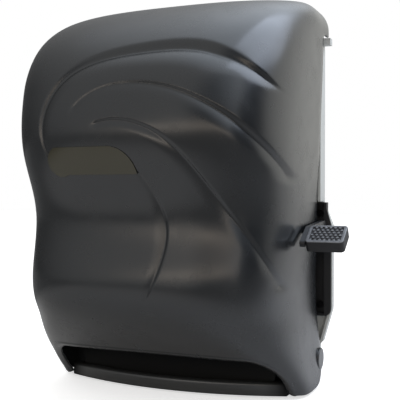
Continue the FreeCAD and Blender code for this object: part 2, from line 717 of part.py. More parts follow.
# ------------------------------------------------------------------ side frames
def side_frame(name, side):
    """A side frame: an upright with its bores, and a flange against the back plate."""
    frame = body(name)
    upright = sketch(frame, "YZ_Plane", "frame_face" if side > 0 else f"-{FRAME_OUT}")
    polygon(upright, [(f"-{FLOOR}", FRAME_TOP), ("-lever_deep - 14", FRAME_TOP),
                      (f"-{FEED_DEEP} - 12", f"{FEED_LEVEL} + 26"), (f"-{FRAME_FRONT}", f"{FEED_LEVEL} + 12"),
                      (f"-{FRAME_FRONT}", f"{FEED_LEVEL} - 50"), (f"-{FEED_DEEP}", FRAME_FOOT),
                      (f"-{FLOOR}", FRAME_FOOT)])
    if side > 0:
        circle(upright, "-lever_deep", "lever_level", "lever_shaft_r + 2 * running + bush_wall")
    circle(upright, f"-{FEED_DEEP}", FEED_LEVEL, "feed_shaft_r + 2 * running + bush_wall")
    circle(upright, f"-{PINCH_DEEP}", PINCH_LEVEL, "pinch_shaft_r + 2 * running + bush_wall")
    circle(upright, f"-{FEED_DEEP} * 0.45", f"{FEED_LEVEL} - 8", "14")
    circle(upright, f"-{GUIDE_SCREW_DEEP}", GUIDE_SCREW_LEVEL, "screw_r + running")
    pad(frame, upright, "frame_thick")
    flange = sketch(frame, "XZ_Plane", FLOOR)
    inner = f"{side} * (frame_face - flange_wide)"
    outer = f"{side} * {FRAME_OUT}"
    polygon(flange, [(inner, FRAME_FOOT), (outer, FRAME_FOOT), (outer, FRAME_TOP), (inner, FRAME_TOP)])
    for level in FLANGE_SCREWS:
        circle(flange, f"{side} * {FLANGE_MID}", level, "screw_r + running")
    pad(frame, flange, "frame_thick")


GUIDE_SCREW_DEEP = f"({FEED_DEEP} + 25.5)"
GUIDE_SCREW_LEVEL = f"({FEED_LEVEL} + 4)"
side_frame("side_frame_right", 1)
side_frame("side_frame_left", -1)


# ------------------------------------------------------------------ bearing bushes
def bush(side, deep, level, shaft):
    """A flanged bush in a side frame's bore; the flange is on the inner face."""
    bore = f"{shaft} + running"
    wall = f"{bore} + bush_wall"
    if side > 0:
        start, flange = "frame_face - bush_flange", "frame_face - bush_flange"
    else:
        start, flange = f"-{FRAME_OUT}", "-frame_face"
    tube = rod("X", start, f"-{deep}", level, wall, "frame_thick + bush_flange")
    collar = rod("X", flange, f"-{deep}", level, f"{wall} + 1.8", "bush_flange")
    hole = rod("X", f"{start} - 1", f"-{deep}", level, bore, "frame_thick + bush_flange + 2")
    return cut(join(tube, collar), hole)


part("lever_bush", bush(1, "lever_deep", "lever_level", "lever_shaft_r"))
part("feed_bushes", group(*[bush(side, FEED_DEEP, FEED_LEVEL, "feed_shaft_r") for side in (-1, 1)]))
part("pinch_bushes", group(*[bush(side, PINCH_DEEP, PINCH_LEVEL, "pinch_shaft_r") for side in (-1, 1)]))


# ------------------------------------------------------------------ towel chute
PAN_TOP = f"({HEM} + ledge_tall)"
RAMP_FOOT_DEEP = "(ledge_deep - ledge_bow + 1)"


def pan_outline(inset):
    """Plan of the chute pan: a straight back and a front that bows out."""
    half = mm("ledge_half") - inset
    back = -mm(FLOOR) - inset
    ends = -mm("ledge_deep - ledge_bow") + inset
    front = -mm("ledge_deep") + inset
    level = mm(HEM)
    left_end = Vector(-half, ends, level)
    right_end = Vector(half, ends, level)
    edges = [Part.Arc(left_end, Vector(0, front, level), right_end).toShape(),
             Part.makeLine(right_end, Vector(half, back, level)),
             Part.makeLine(Vector(half, back, level), Vector(-half, back, level)),
             Part.makeLine(Vector(-half, back, level), left_end)]
    return Part.Face(Part.Wire(edges))


def chute_pan():
    """The pan under the towel path: floor, rim, bowed ledge, rear flange and the ramp to the rollers."""
    sheet = mm("sheet_thick")
    floor = pan_outline(0).extrude(UPWARD * sheet)
    rim = pan_outline(0).cut(pan_outline(sheet)).extrude(UPWARD * mm("ledge_tall - ledge_round"))
    behind_ledge = block("-ledge_half", "ledge_half", "0", "ledge_deep - ledge_bow - ledge_thick", HEM, "0")
    ledge = pan_outline(0).cut(pan_outline(mm("ledge_thick"))).extrude(UPWARD * mm("ledge_tall"))
    ledge = ledge.cut(behind_ledge)
    crest = [edge for edge in ledge.Edges
             if edge.BoundBox.ZMin > mm(PAN_TOP) - 0.01 and edge.BoundBox.YMin < -mm("ledge_deep") + 0.01]
    ledge = ledge.makeFillet(mm("ledge_round"), crest)
    flange = block("-100", "100", FLOOR, f"{FLOOR} + sheet_thick", HEM, "back_foot + 20")
    ramp = side_slab([(PINCH_DEEP + " + 8", f"{PINCH_LEVEL} - 18"), (RAMP_FOOT_DEEP, f"{HEM} + 1"),
                      (f"{RAMP_FOOT_DEEP} - sheet_thick - 0.6", f"{HEM} + 1"),
                      (PINCH_DEEP + " + 8 - sheet_thick", f"{PINCH_LEVEL} - 18")], ["0"] * 4,
                     "-frame_face + 0.5", "frame_face - 0.5")
    holes = [bar(OUTWARD, x, "1", z, "screw_r + running", "20")
             for x, z, clamped in PLATE_SCREWS if clamped == "sheet_thick" and abs(mm(x)) < mm("frame_face")]
    return floor.fuse([rim, ledge, flange, ramp]).cut(holes).removeSplitter()


part("chute_pan", solid(chute_pan()))


# ------------------------------------------------------------------ front guide and tear bar
GUIDE_DEEP = f"({FEED_DEEP} + feed_sleeve_r + 1.5)"
GUIDE_TOP = f"({FEED_LEVEL} + 12)"
BLADE_DEEP = f"({GUIDE_DEEP} + 6.5)"
BLADE_TOP = f"({FEED_LEVEL} - 44)"
BLADE_SCREWS = ["-tear_half * 0.72", "0", "tear_half * 0.72"]

guide = body("front_guide")
guide_plan = sketch(guide, "YZ_Plane", "-frame_face")
polygon(guide_plan, [(f"-{GUIDE_DEEP}", GUIDE_TOP), (f"-{GUIDE_DEEP} - sheet_thick", GUIDE_TOP),
                     (f"-{BLADE_DEEP}", BLADE_TOP), (f"-{BLADE_DEEP}", f"{BLADE_TOP} - 10"),
                     (f"-{BLADE_DEEP} + sheet_thick", f"{BLADE_TOP} - 10"),
                     (f"-{BLADE_DEEP} + sheet_thick", BLADE_TOP)])
pad(guide, guide_plan, "2 * frame_face")
TAB_FRONT = f"-{GUIDE_SCREW_DEEP} - 4"
TAB_FOOT = f"{GUIDE_TOP} - 16"
for tab_face in ("-frame_face", "frame_face - sheet_thick"):
    tab = sketch(guide, "YZ_Plane", tab_face)
    polygon(tab, [(f"-{GUIDE_DEEP}", GUIDE_TOP), (f"-{GUIDE_DEEP} - 1", TAB_FOOT), (TAB_FRONT, TAB_FOOT),
                  (TAB_FRONT, GUIDE_TOP)])
    circle(tab, f"-{GUIDE_SCREW_DEEP}", GUIDE_SCREW_LEVEL, "screw_r + running")
    pad(guide, tab, "sheet_thick")
blade_holes = sketch(guide, "XZ_Plane", BLADE_DEEP)
for across in BLADE_SCREWS:
    circle(blade_holes, across, f"{BLADE_TOP} - 5", "screw_r + running")
pocket(guide, blade_holes)


def tear_bar():
    """The toothed steel bar, screwed to the front of the guide."""
    half = mm("tear_half")
    top = mm(BLADE_TOP)
    root = top - mm("tear_tall") + mm("tooth_tall")
    teeth = round(2 * half / mm("tooth_pitch"))
    pitch = 2 * half / teeth
    face = -mm(BLADE_DEEP)
    corners = [Vector(-half, face, top), Vector(half, face, top), Vector(half, face, root)]
    for index in range(teeth):
        start = half - index * pitch
        corners.append(Vector(start - pitch / 2, face, root - mm("tooth_tall")))
        corners.append(Vector(start - pitch, face, root))
    plate = Part.Face(Part.makePolygon(corners + corners[:1])).extrude(OUTWARD * mm("tear_thick"))
    holes = [bar(OUTWARD, x, f"1 - {BLADE_DEEP}", f"{BLADE_TOP} - 5", "screw_r + running", "5")
             for x in BLADE_SCREWS]
    return plate.cut(holes)


part("tear_bar", solid(tear_bar()))
part("tear_screws", group(*[
    join(rod("Y", x, f"-{BLADE_DEEP} - tear_thick - screw_head_tall", f"{BLADE_TOP} - 5", "screw_head_r",
             "screw_head_tall"),
         rod("Y", x, f"-{BLADE_DEEP} - tear_thick", f"{BLADE_TOP} - 5", "screw_r",
             "tear_thick + sheet_thick + 1.5"))
    for x in BLADE_SCREWS]))


def guide_screw(side):
    """A screw through a side frame into the end of the front guide."""
    if side > 0:
        head, shank = FRAME_OUT, f"{FRAME_OUT} - frame_thick - sheet_thick - 1.5"
    else:
        head, shank = f"-{FRAME_OUT} - screw_head_tall", f"-{FRAME_OUT}"
    return join(rod("X", head, f"-{GUIDE_SCREW_DEEP}", GUIDE_SCREW_LEVEL, "screw_head_r", "screw_head_tall"),
                rod("X", shank, f"-{GUIDE_SCREW_DEEP}", GUIDE_SCREW_LEVEL, "screw_r",
                    "frame_thick + sheet_thick + 1.5"))


part("guide_screws", group(guide_screw(-1), guide_screw(1)))
part("chassis_screws", group(*[
    join(rod("Y", x, f"-{FLOOR} - {clamped} - screw_head_tall", z, "screw_head_r", "screw_head_tall"),
         rod("Y", x, f"-{FLOOR} - {clamped}", z, "screw_r", f"{FLOOR} + {clamped} - 0.8"))
    for x, z, clamped in PLATE_SCREWS]))


# ------------------------------------------------------------------ lever housing
def lever_housing():
    """The dark moulding beside the lever: gear guard, channel floor, side wall and outer lip."""
    front = f"{FEED_DEEP} + 20"
    guard = side_slab([(FLOOR, "lip_top"), ("lever_deep + 34", "lip_top"), (front, f"{FEED_LEVEL} + 22"),
                       (front, f"{FEED_LEVEL} - 20"), (f"{FEED_DEEP} - 30", "lip_foot"), (FLOOR, "lip_foot")],
                      ["0", "14", "14", "14", "14", "0"], GUARD_FACE, GUARD_OUT)
    boss = bar(RIGHTWARD, f"{GUARD_FACE} - 3", "-lever_deep", "lever_level", "lever_hub_r", "3")
    wall_out = "lip_inner + sheet_thick"
    floor = block(GUARD_FACE, wall_out, FLOOR, f"{FLOOR} + sheet_thick", "lip_foot", "lip_top")
    wall = block("lip_inner", wall_out, FLOOR, "lip_deep", "lip_foot", "lip_top")
    top_end = block(GUARD_FACE, wall_out, FLOOR, "lip_deep - 1", "lip_top - sheet_thick", "lip_top")
    foot_end = block(GUARD_FACE, wall_out, FLOOR, "lip_deep - 1", "lip_foot", "lip_foot + sheet_thick")
    lip = wall_slab([("lip_inner", "lip_foot"), ("lip_half", "lip_foot"), ("lip_half", "lip_top - 24"),
                     (f"{wall_out} + 0.5", "lip_top - 7"), (f"{wall_out} + 0.5", "lip_top"),
                     ("lip_inner", "lip_top")], ["0", "lip_round", "12", "8", "0", "0"],
                    "lip_deep - 3", "lip_deep")
    holes = [bar(OUTWARD, x, "1", z, "screw_r + running", "20")
             for x, z, clamped in PLATE_SCREWS if mm(x) > mm(GUARD_OUT)]
    bore = bar(RIGHTWARD, f"{GUARD_FACE} - 5", "-lever_deep", "lever_level", "lever_shaft_r + running", "20")
    return guard.fuse([boss, floor, wall, top_end, foot_end, lip]).cut(holes + [bore]).removeSplitter()


part("lever_housing", solid(lever_housing()))


# ------------------------------------------------------------------ lever
PRESSURE = math.radians(20)


def flank_angle(radius, base):
    """Involute function of the flank at a radius."""
    pressure = math.acos(min(1.0, base / radius))
    return math.tan(pressure) - pressure


def tooth_points(teeth, middle):
    """One thinned involute tooth as (radius, angle) points, from its rising to its falling root."""
    module = mm("gear_module")
    pitch_r = module * teeth / 2
    base = pitch_r * math.cos(PRESSURE)
    root = pitch_r - 1.25 * module
    tip = pitch_r + module * 0.95
    half = (math.pi * module / 2 - mm("backlash") / 2) / (2 * pitch_r) + flank_angle(pitch_r, base)
    start = max(base, root)
    flank = [start + (tip - start) * step / 4 for step in range(5)]
    rising = [(root, middle - half)] if root < base else []
    rising += [(radius, middle - half + flank_angle(radius, base)) for radius in flank]
    return rising + [(radius, 2 * middle - angle) for radius, angle in reversed(rising)]


def polar(centre, x, radius, angle):
    """A point round an axis parallel to X; the angle runs from +Y towards +Z."""
    return Vector(x, centre.y + radius * math.cos(angle), centre.z + radius * math.sin(angle))


LEVER_AXIS = Vector(0, -mm("lever_deep"), mm("lever_level"))
FEED_AXIS = Vector(0, -mm(FEED_DEEP), mm(FEED_LEVEL))
MESH_LINE = math.pi + math.radians(mm("mesh_drop"))


def gear_face(centre, points):
    """The flat face inside a run of polar points, at the gears' inner plane."""
    corners = [polar(centre, mm(GEAR_FACE), radius, angle) for radius, angle in points]
    return Part.Face(Part.makePolygon(corners + corners[:1]))


def lever_sector():
    """The toothed sector on the lever shaft, with a hub and one lightening hole."""
    teeth = int(mm("sector_teeth"))
    step = 2 * math.pi / teeth
    ahead = 2
    behind = math.ceil(math.radians(mm("press_swing")) / step) + 2
    points = [(1.0, MESH_LINE - math.pi / 2)]
    for index in range(-behind, ahead + 1):
        points += tooth_points(teeth, MESH_LINE + index * step)
    points.append((1.0, MESH_LINE))
    wheel = gear_face(LEVER_AXIS, points).extrude(RIGHTWARD * mm("gear_wide"))
    hub = bar(RIGHTWARD, GEAR_FACE, "-lever_deep", "lever_level", "lever_hub_r + 3", "gear_wide")
    bore = bar(RIGHTWARD, FRAME_OUT, "-lever_deep", "lever_level", "lever_shaft_r + running", "4 * gear_wide")
    centre = polar(LEVER_AXIS, mm(FRAME_OUT), 46, MESH_LINE - math.radians(mm("press_swing") / 2))
    window = Part.makeCylinder(13, 4 * mm("gear_wide"), centre, RIGHTWARD)
    return wheel.fuse(hub).cut([bore, window]).removeSplitter()


def drive_pinion():
    """The pinion on the feed shaft; a gap between two teeth faces the lever axis."""
    teeth = int(mm("pinion_teeth"))
    step = 2 * math.pi / teeth
    first = MESH_LINE - math.pi + step / 2
    points = []
    for index in range(teeth):
        points += tooth_points(teeth, first + index * step)
    wheel = gear_face(FEED_AXIS, points).extrude(RIGHTWARD * mm("gear_wide"))
    hub = bar(RIGHTWARD, f"{GEAR_FACE} - gear_gap + 0.5", f"-{FEED_DEEP}", FEED_LEVEL, "feed_shaft_r + 4",
              "gear_gap")
    bore = bar(RIGHTWARD, FRAME_OUT, f"-{FEED_DEEP}", FEED_LEVEL, "feed_shaft_r + running", "4 * gear_wide")
    return wheel.fuse(hub).cut(bore).removeSplitter()


def pad_block(x_low, x_high, along_low, along_high, out_low, out_high):
    """A box in the tilted pad's own frame."""
    blank = Part.makeBox(x_high - x_low, along_high - along_low, out_high - out_low,
                         Vector(x_low, along_low, out_low))
    return blank


PAD_PLACE = Placement(Vector(0, -mm("pad_deep"), mm("pad_level")), Rotation(RIGHTWARD, mm("pad_tilt")))
PAD_X = "(arm_face + arm_thick + 1)"
TONGUE = [mm("arm_face + arm_thick") - 1, mm(PAD_X) + mm("pad_wide") - 8, -mm("pad_long") + 6, -6.0,
          -mm("pad_thick") + 4, -4.0]


def lever_arm():
    """The lever arm: a hub on the shaft, an arm along the cover's side and a tongue into the pad."""
    rear = mm("pad_deep") - 5
    start, end = mm("arm_face"), mm("arm_face + arm_thick")
    low = PAD_PLACE.multVec(Vector(0, -mm("pad_long") + 3, -mm("pad_thick") + 2))
    high = PAD_PLACE.multVec(Vector(0, -mm("pad_long") + 3, -3))
    back = PAD_PLACE.multVec(Vector(0, 0, -mm("pad_thick") + 1))
    hub_r = Vector(0, 0, mm("lever_hub_r"))
    corners = [LEVER_AXIS + hub_r, Vector(0, -rear, mm("pad_level") - 2), high, low, back, LEVER_AXIS - hub_r]
    arm = slab(rounded_wire(corners, [0, 10, 3, 3, 10, 0]), start, end, RIGHTWARD)
    hub = bar(RIGHTWARD, "arm_face", "-lever_deep", "lever_level", "lever_hub_r", "arm_thick")
    tongue = pad_block(*TONGUE)
    tongue.Placement = PAD_PLACE
    bore = bar(RIGHTWARD, "arm_face - 1", "-lever_deep", "lever_level", "lever_shaft_r + running",
               "arm_thick + 2")
    return arm.fuse([hub, tongue]).cut(bore).removeSplitter()


def lever_pad():
    """The soft pad over the tongue, with a sunk panel of grip studs."""
    left = mm(PAD_X)
    wide, long, thick = mm("pad_wide"), mm("pad_long"), mm("pad_thick")
    tall = mm("stud_tall")
    blank = pad_block(left, left + wide, -long, 0, -thick, 0)
    uprights = [edge for edge in blank.Edges if abs(edge.tangentAt(edge.FirstParameter).z) > 0.9]
    blank = blank.makeFillet(mm("pad_round"), uprights)
    rim = [edge for edge in blank.Edges if edge.BoundBox.ZMin > -0.01]
    blank = blank.makeFillet(1.2, rim)
    margin = 3.2
    panel = pad_block(left + margin, left + wide - margin, -long + margin, -margin, -tall, 1)
    panel = panel.makeFillet(2, [e for e in panel.Edges if abs(e.tangentAt(e.FirstParameter).z) > 0.9])
    pitch = mm("stud_pitch")
    columns = int((wide - 2 * margin - 3) / pitch)
    rows = int((long - 2 * margin - 2) / (pitch * 0.87))
    studs = []
    for row in range(rows + 1):
        across = columns - row % 2
        for column in range(across + 1):
            x = left + wide / 2 + (column - across / 2) * pitch
            along = -long / 2 + (row - rows / 2) * pitch * 0.87
            studs.append(Part.makeCylinder(mm("stud_r"), tall + 1, Vector(x, along, -tall - 1), UPWARD))
    return blank.cut([panel, pad_block(*TONGUE)]).fuse(studs).removeSplitter()


part("lever_sector", solid(lever_sector()))
part("lever_arm", solid(lever_arm()))
part("lever_pad", solid(lever_pad(), PAD_PLACE))
part("lever_shaft", rod("X", "frame_face - 16", "-lever_deep", "lever_level", "lever_shaft_r",
                        "arm_face + arm_thick - frame_face + 15.5"))


def clip(x, deep, level, shaft, wide="1"):
    """A retaining ring round a shaft, starting at x."""
    return cut(rod("X", x, f"-{deep}", level, f"{shaft} + 2.5", wide),
               rod("X", f"{x} - 1", f"-{deep}", level, f"{shaft} + running", f"{wide} + 2"))


part("lever_clip", clip("frame_face - bush_flange - 1.4", "lever_deep", "lever_level", "lever_shaft_r"))


def coil(start, axis, radius, wire, pitch, turns):
    """A close-wound spring round an axis."""
    path = Part.Wire(Part.makeHelix(pitch, pitch * turns, radius))
    profile = Part.Wire(Part.makeCircle(wire, Vector(radius, 0, 0), Vector(0, 1, 0)))
    spring = path.makePipeShell([profile], True, True)
    return solid(spring, Placement(start, Rotation(UPWARD, axis)))


part("lever_return_spring", coil(LEVER_AXIS + RIGHTWARD * (mm("frame_face") - 14), RIGHTWARD,
                                 mm("lever_shaft_r") + 1.1, 0.8, 1.9, 5))


# ------------------------------------------------------------------ feed roller
FEED_AT = (f"-{FEED_DEEP}", FEED_LEVEL)
PINCH_AT = (f"-{PINCH_DEEP}", PINCH_LEVEL)
KNOB_FACE = f"(-{FRAME_OUT} - 2.5)"


def sleeves(at, core, outer):
    """Three sleeves along a roller."""
    pieces = []
    for middle in ("-sleeve_pitch", "0", "sleeve_pitch"):
        start = f"{middle} - sleeve_long / 2"
        pieces.append(cut(rod("X", start, *at, outer, "sleeve_long"),
                          rod("X", f"{start} - 1", *at, f"{core} + running", "sleeve_long + 2")))
    return group(*pieces)


part("feed_shaft", rod("X", f"{KNOB_FACE} - knob_wide + 2", *FEED_AT, "feed_shaft_r",
                       f"{GEAR_OUT} + 1.8 - ({KNOB_FACE} - knob_wide + 2)"))
part("feed_core", cut(rod("X", "-frame_face + 5", *FEED_AT, "feed_core_r", "2 * frame_face - 10"),
                      rod("X", "-frame_face", *FEED_AT, "feed_shaft_r + running", "2 * frame_face")))
part("feed_sleeves", sleeves(FEED_AT, "feed_core_r", "feed_sleeve_r"))
part("drive_pinion", solid(drive_pinion()))
part("feed_clip", clip(f"{GEAR_OUT} + 0.3", FEED_DEEP, FEED_LEVEL, "feed_shaft_r"))


def feed_knob():
    """The hand knob on the left end of the feed shaft, with finger flutes round it."""
    flutes = []
    for index in range(10):
        centre = polar(FEED_AXIS, mm(f"{KNOB_FACE} - knob_wide") - 1, mm("knob_r") + 1.5, index * math.pi / 5)
        flutes.append(Part.makeCylinder(3, mm("knob_wide") + 2, centre, RIGHTWARD))
    grip = bar(RIGHTWARD, f"{KNOB_FACE} - knob_wide", *FEED_AT, "knob_r", "knob_wide")
    bore = bar(RIGHTWARD, f"{KNOB_FACE} - knob_wide + 2", *FEED_AT, "feed_shaft_r + running", "knob_wide")
    return grip.cut(flutes + [bore]).removeSplitter()


part("feed_knob", solid(feed_knob()))

# ------------------------------------------------------------------ pinch roller
part("pinch_shaft", rod("X", f"-{FRAME_OUT} - 2", *PINCH_AT, "pinch_shaft_r", f"2 * {FRAME_OUT} + 4"))
part("pinch_sleeves", sleeves(PINCH_AT, "pinch_shaft_r", "pinch_sleeve_r"))
part("pinch_clips", group(clip(f"{FRAME_OUT} + 0.3", PINCH_DEEP, PINCH_LEVEL, "pinch_shaft_r"),
                          clip(f"-{FRAME_OUT} - 1.3", PINCH_DEEP, PINCH_LEVEL, "pinch_shaft_r")))


# ------------------------------------------------------------------ roll arms and hubs
HUB_AT = ("-roll_deep", "roll_level")
ARM_FACE = "(arm_pin_half - 9)"
EAR_GAP = 0.5
PIN_AT = ("arm_pin_half", "-arm_pin_deep")
KNUCKLE_TOP = f"({KNUCKLE_LOW} + arm_tall / 2)"


def roll_arm():
    """The right-hand roll arm: a knuckle on its pin and a plate out to the hub."""
    plate = side_slab([("arm_pin_deep - 4", f"{KNUCKLE_LOW} + 2"), ("roll_deep", "roll_level - 12"),
                       ("roll_deep", "roll_level + 12"), ("arm_pin_deep - 4", KNUCKLE_TOP)],
                      ["0"] * 4, ARM_FACE, f"{ARM_FACE} + arm_plate")
    disc = bar(RIGHTWARD, ARM_FACE, *HUB_AT, "hub_flange_r - 4", "arm_plate")
    knuckle = bar(UPWARD, *PIN_AT, KNUCKLE_LOW, "knuckle_r", "arm_tall / 2")
    pin = bar(UPWARD, *PIN_AT, f"{KNUCKLE_LOW} - 1", "arm_pin_r + running", "arm_tall + 2")
    bore = bar(RIGHTWARD, f"{ARM_FACE} - 1", *HUB_AT, "lever_shaft_r + running", "arm_plate + 2")
    coil_room = bar(UPWARD, *PIN_AT, KNUCKLE_TOP, "knuckle_r", "arm_tall")
    return plate.fuse([disc, knuckle]).cut([pin, bore, coil_room]).removeSplitter()


def bracket():
    """The right-hand bracket: a base on the back plate and an ear above and below the knuckle."""
    base = block("arm_pin_half - 15", "arm_pin_half + 16", FLOOR, f"{FLOOR} + frame_thick",
                 f"{KNUCKLE_LOW} - 6", f"{KNUCKLE_LOW} + arm_tall + 6")
    ears = []
    for low in (f"{KNUCKLE_LOW} - {EAR_GAP} - frame_thick", f"{KNUCKLE_LOW} + arm_tall + {EAR_GAP}"):
        ears.append(block("arm_pin_half - knuckle_r", "arm_pin_half + knuckle_r", FLOOR, "arm_pin_deep",
                          low, f"{low} + frame_thick"))
        ears.append(bar(UPWARD, *PIN_AT, low, "knuckle_r", "frame_thick"))
    pin = bar(UPWARD, *PIN_AT, f"{KNUCKLE_LOW} - 9", "arm_pin_r + running", "arm_tall + 20")
    holes = [bar(OUTWARD, "arm_pin_half + 10.5", "1", level, "screw_r + running", "20")
             for level in BRACKET_SCREWS]
    return base.fuse(ears).cut(holes + [pin]).removeSplitter()


def roll_hub():
    """The right-hand hub that plugs into the roll's core: nose, flange and a spindle through the arm."""
    nose = bar(RIGHTWARD, "roll_half + 1 - hub_nose_long", *HUB_AT, "hub_nose_r", "hub_nose_long")
    hollow = bar(RIGHTWARD, "roll_half - hub_nose_long", *HUB_AT, "hub_nose_r - sheet_thick",
                 "hub_nose_long - 2")
    flange = bar(RIGHTWARD, "roll_half + 1", *HUB_AT, "hub_flange_r", "3")
    collar = bar(RIGHTWARD, "roll_half + 4", *HUB_AT, "lever_shaft_r + 4", f"{ARM_FACE} - roll_half - 4.3")
    spindle = bar(RIGHTWARD, "roll_half - 8", *HUB_AT, "lever_shaft_r",
                  f"{ARM_FACE} + arm_plate - roll_half + 11")
    return nose.cut(hollow).fuse([flange, collar, spindle]).removeSplitter()


for name, shape in (("roll_arm", roll_arm()), ("arm_bracket", bracket()), ("roll_hub", roll_hub())):
    right = part(f"{name}_right", solid(shape))
    part(f"{name}_left", mirrored(right))
hub_clip = part("hub_clip_right", clip(f"{ARM_FACE} + arm_plate + 0.4", "roll_deep", "roll_level",
                                       "lever_shaft_r"))
part("hub_clip_left", mirrored(hub_clip))
arm_pins = [rod("Z", x, "-arm_pin_deep", f"{KNUCKLE_LOW} - 5", "arm_pin_r", "arm_tall + 10")
            for x in ("arm_pin_half", "-arm_pin_half")]
part("arm_pins", group(*arm_pins))
SPRING_LEVEL = mm(f"{KNUCKLE_TOP} + 1.5")
part("arm_springs", group(*[
    coil(Vector(x, -mm("arm_pin_deep"), SPRING_LEVEL), UPWARD, mm("arm_pin_r") + 1.6, 0.7, 1.8, 5)
    for x in (mm("arm_pin_half"), -mm("arm_pin_half"))]))

# ------------------------------------------------------------------ cover hinge pins
PIN_LONG = EAR_FACE - mm("ear_proud") / 2 - 0.2 - mm("foot_half") + 5


def hinge_pin(x_head, x_shank):
    """A headed pin through a hinge lug into the cover's ear."""
    return join(rod("X", x_head, "-hinge_deep", "hinge_level", "hinge_pin_r + 2", "2"),
                rod("X", x_shank, "-hinge_deep", "hinge_level", "hinge_pin_r", PIN_LONG))


part("hinge_pins", group(hinge_pin("foot_half - 7", "foot_half - 5"),
                         hinge_pin("5 - foot_half", f"5 - foot_half - {PIN_LONG}")))

# ------------------------------------------------------------------ lock
LOCK_AT = ("0", "-lock_deep")
part("lock_barrel", cut(join(rod("Z", *LOCK_AT, LOCK_FACE, f"{LOCK_SEAT_R} - 1.3", "1.8"),
                             rod("Z", *LOCK_AT, LOCK_FOOT, "lock_r - running", "lock_tall")),
                        rod("Z", *LOCK_AT, f"{LOCK_FOOT} - 1", "lock_plug_r + running", "lock_tall + 9")))
part("lock_plug", cut(join(rod("Z", *LOCK_AT, LOCK_FOOT, "lock_plug_r", "lock_tall + 1.8"),
                           rod("Z", *LOCK_AT, f"{LOCK_FOOT} - 6", "lock_plug_r - 2.5", "7")),
                      box("-0.8", "0.8", "-lock_deep - 3", "-lock_deep + 3", f"{LOCK_FACE} - 6", CROWN)))
cam = body("lock_cam")
cam_plan = sketch(cam, "XY_Plane", f"{LOCK_FOOT} - 4")
polygon(cam_plan, [("-4.5", "-lock_deep - 4.5"), ("4.5", "-lock_deep - 4.5"), ("4.5", "-lock_deep + 18"),
                   ("-4.5", "-lock_deep + 18")])
circle(cam_plan, *LOCK_AT, "lock_plug_r - 2.5 + running")
pad(cam, cam_plan, "3")
catch_low = f"{LOCK_FOOT} - 8"
catch_high = f"{LOCK_FOOT} + 1"
part("lock_catch", cut(join(box("22", "44", f"-{FLOOR} - frame_thick", f"-{FLOOR}", f"{LOCK_FOOT} - 13",
                                f"{LOCK_FOOT} + 8"),
                            box("22", "25", f"-{CATCH_FACE} - 2.5", f"-{FLOOR}", catch_low, catch_high),
                            box("12", "25", f"-{CATCH_FACE} - 2.5", f"-{CATCH_FACE}", catch_low, catch_high)),
                       rod("Y", "36", "-20", f"{LOCK_FOOT} - 7", "screw_r + running", "25"),
                       rod("Y", "36", "-20", f"{LOCK_FOOT} + 3", "screw_r + running", "25")))


# ------------------------------------------------------------------ checks and files
if __name__ == "__main__":
    doc.recompute()
    faults = [item.Label for item in doc.Objects if {"Invalid", "Error"} & set(item.State)]
    faults += [name for name, item in PARTS.items() if item.Shape.isNull() or not item.Shape.isValid()]
    if faults:
        raise RuntimeError(f"faulty pieces: {faults}")
    os.makedirs("parts", exist_ok=True)
    for name, item in PARTS.items():
        item.Shape.exportStep(f"parts/{name}.step")
        print(name, len(item.Shape.Solids), round(item.Shape.Volume), item.Shape.optimalBoundingBox())
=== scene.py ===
"""Lever paper towel dispenser: finishes for its pieces, its moulded cover and a plain studio."""

import math

import bpy
import numpy as np
from bpy.props import FloatProperty, FloatVectorProperty, PointerProperty
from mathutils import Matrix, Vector


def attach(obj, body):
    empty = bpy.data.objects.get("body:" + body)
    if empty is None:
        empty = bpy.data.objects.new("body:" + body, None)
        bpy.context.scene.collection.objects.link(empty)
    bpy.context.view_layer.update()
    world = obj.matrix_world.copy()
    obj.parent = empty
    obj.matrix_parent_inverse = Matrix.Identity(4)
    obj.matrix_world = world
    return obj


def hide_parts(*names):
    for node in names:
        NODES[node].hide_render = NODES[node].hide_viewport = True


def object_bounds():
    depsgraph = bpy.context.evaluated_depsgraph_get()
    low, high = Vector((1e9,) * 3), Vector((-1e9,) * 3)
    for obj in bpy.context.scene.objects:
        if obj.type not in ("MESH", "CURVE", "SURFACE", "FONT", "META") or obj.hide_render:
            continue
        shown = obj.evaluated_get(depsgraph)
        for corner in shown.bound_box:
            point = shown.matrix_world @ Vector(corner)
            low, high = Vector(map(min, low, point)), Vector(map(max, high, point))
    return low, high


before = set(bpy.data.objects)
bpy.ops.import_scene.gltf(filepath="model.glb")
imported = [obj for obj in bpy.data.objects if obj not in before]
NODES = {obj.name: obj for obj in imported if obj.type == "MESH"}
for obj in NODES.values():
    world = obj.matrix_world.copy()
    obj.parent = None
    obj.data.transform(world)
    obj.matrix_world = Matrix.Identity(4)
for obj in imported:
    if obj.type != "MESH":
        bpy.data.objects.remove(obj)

CAD_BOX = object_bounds()

bl_info = {
    "name": "Lever Paper Towel Dispenser",
    "version": (1, 0, 0),
    "blender": (4, 5, 0),
    "location": "View3D > Sidebar > Dispenser",
    "description": "Builds the finishes, moulded cover and studio of a lever paper towel dispenser",
    "category": "Object",
}


# ------------------------------------------------------------------ small helpers
def linear(code):
    """Turns an sRGB hex colour such as 3A3B3C into linear red, green and blue."""
    parts = [int(code[at:at + 2], 16) / 255 for at in (0, 2, 4)]
    return tuple(part / 12.92 if part <= 0.04045 else ((part + 0.055) / 1.055) ** 2.4 for part in parts)


def per(millimetres):
    """Texture scale whose features are about so many millimetres across."""
    return 1000 / millimetres


def add(tree, kind, inputs, **settings):
    """Adds a node, sets its options, and fills its sockets with values or links."""
    node = tree.nodes.new(kind)
    for name, value in settings.items():
        setattr(node, name, value)
    for name, value in inputs.items():
        socket = node.inputs[name]
        if isinstance(value, bpy.types.NodeSocket):
            tree.links.new(value, socket)
        else:
            socket.default_value = value
    return node


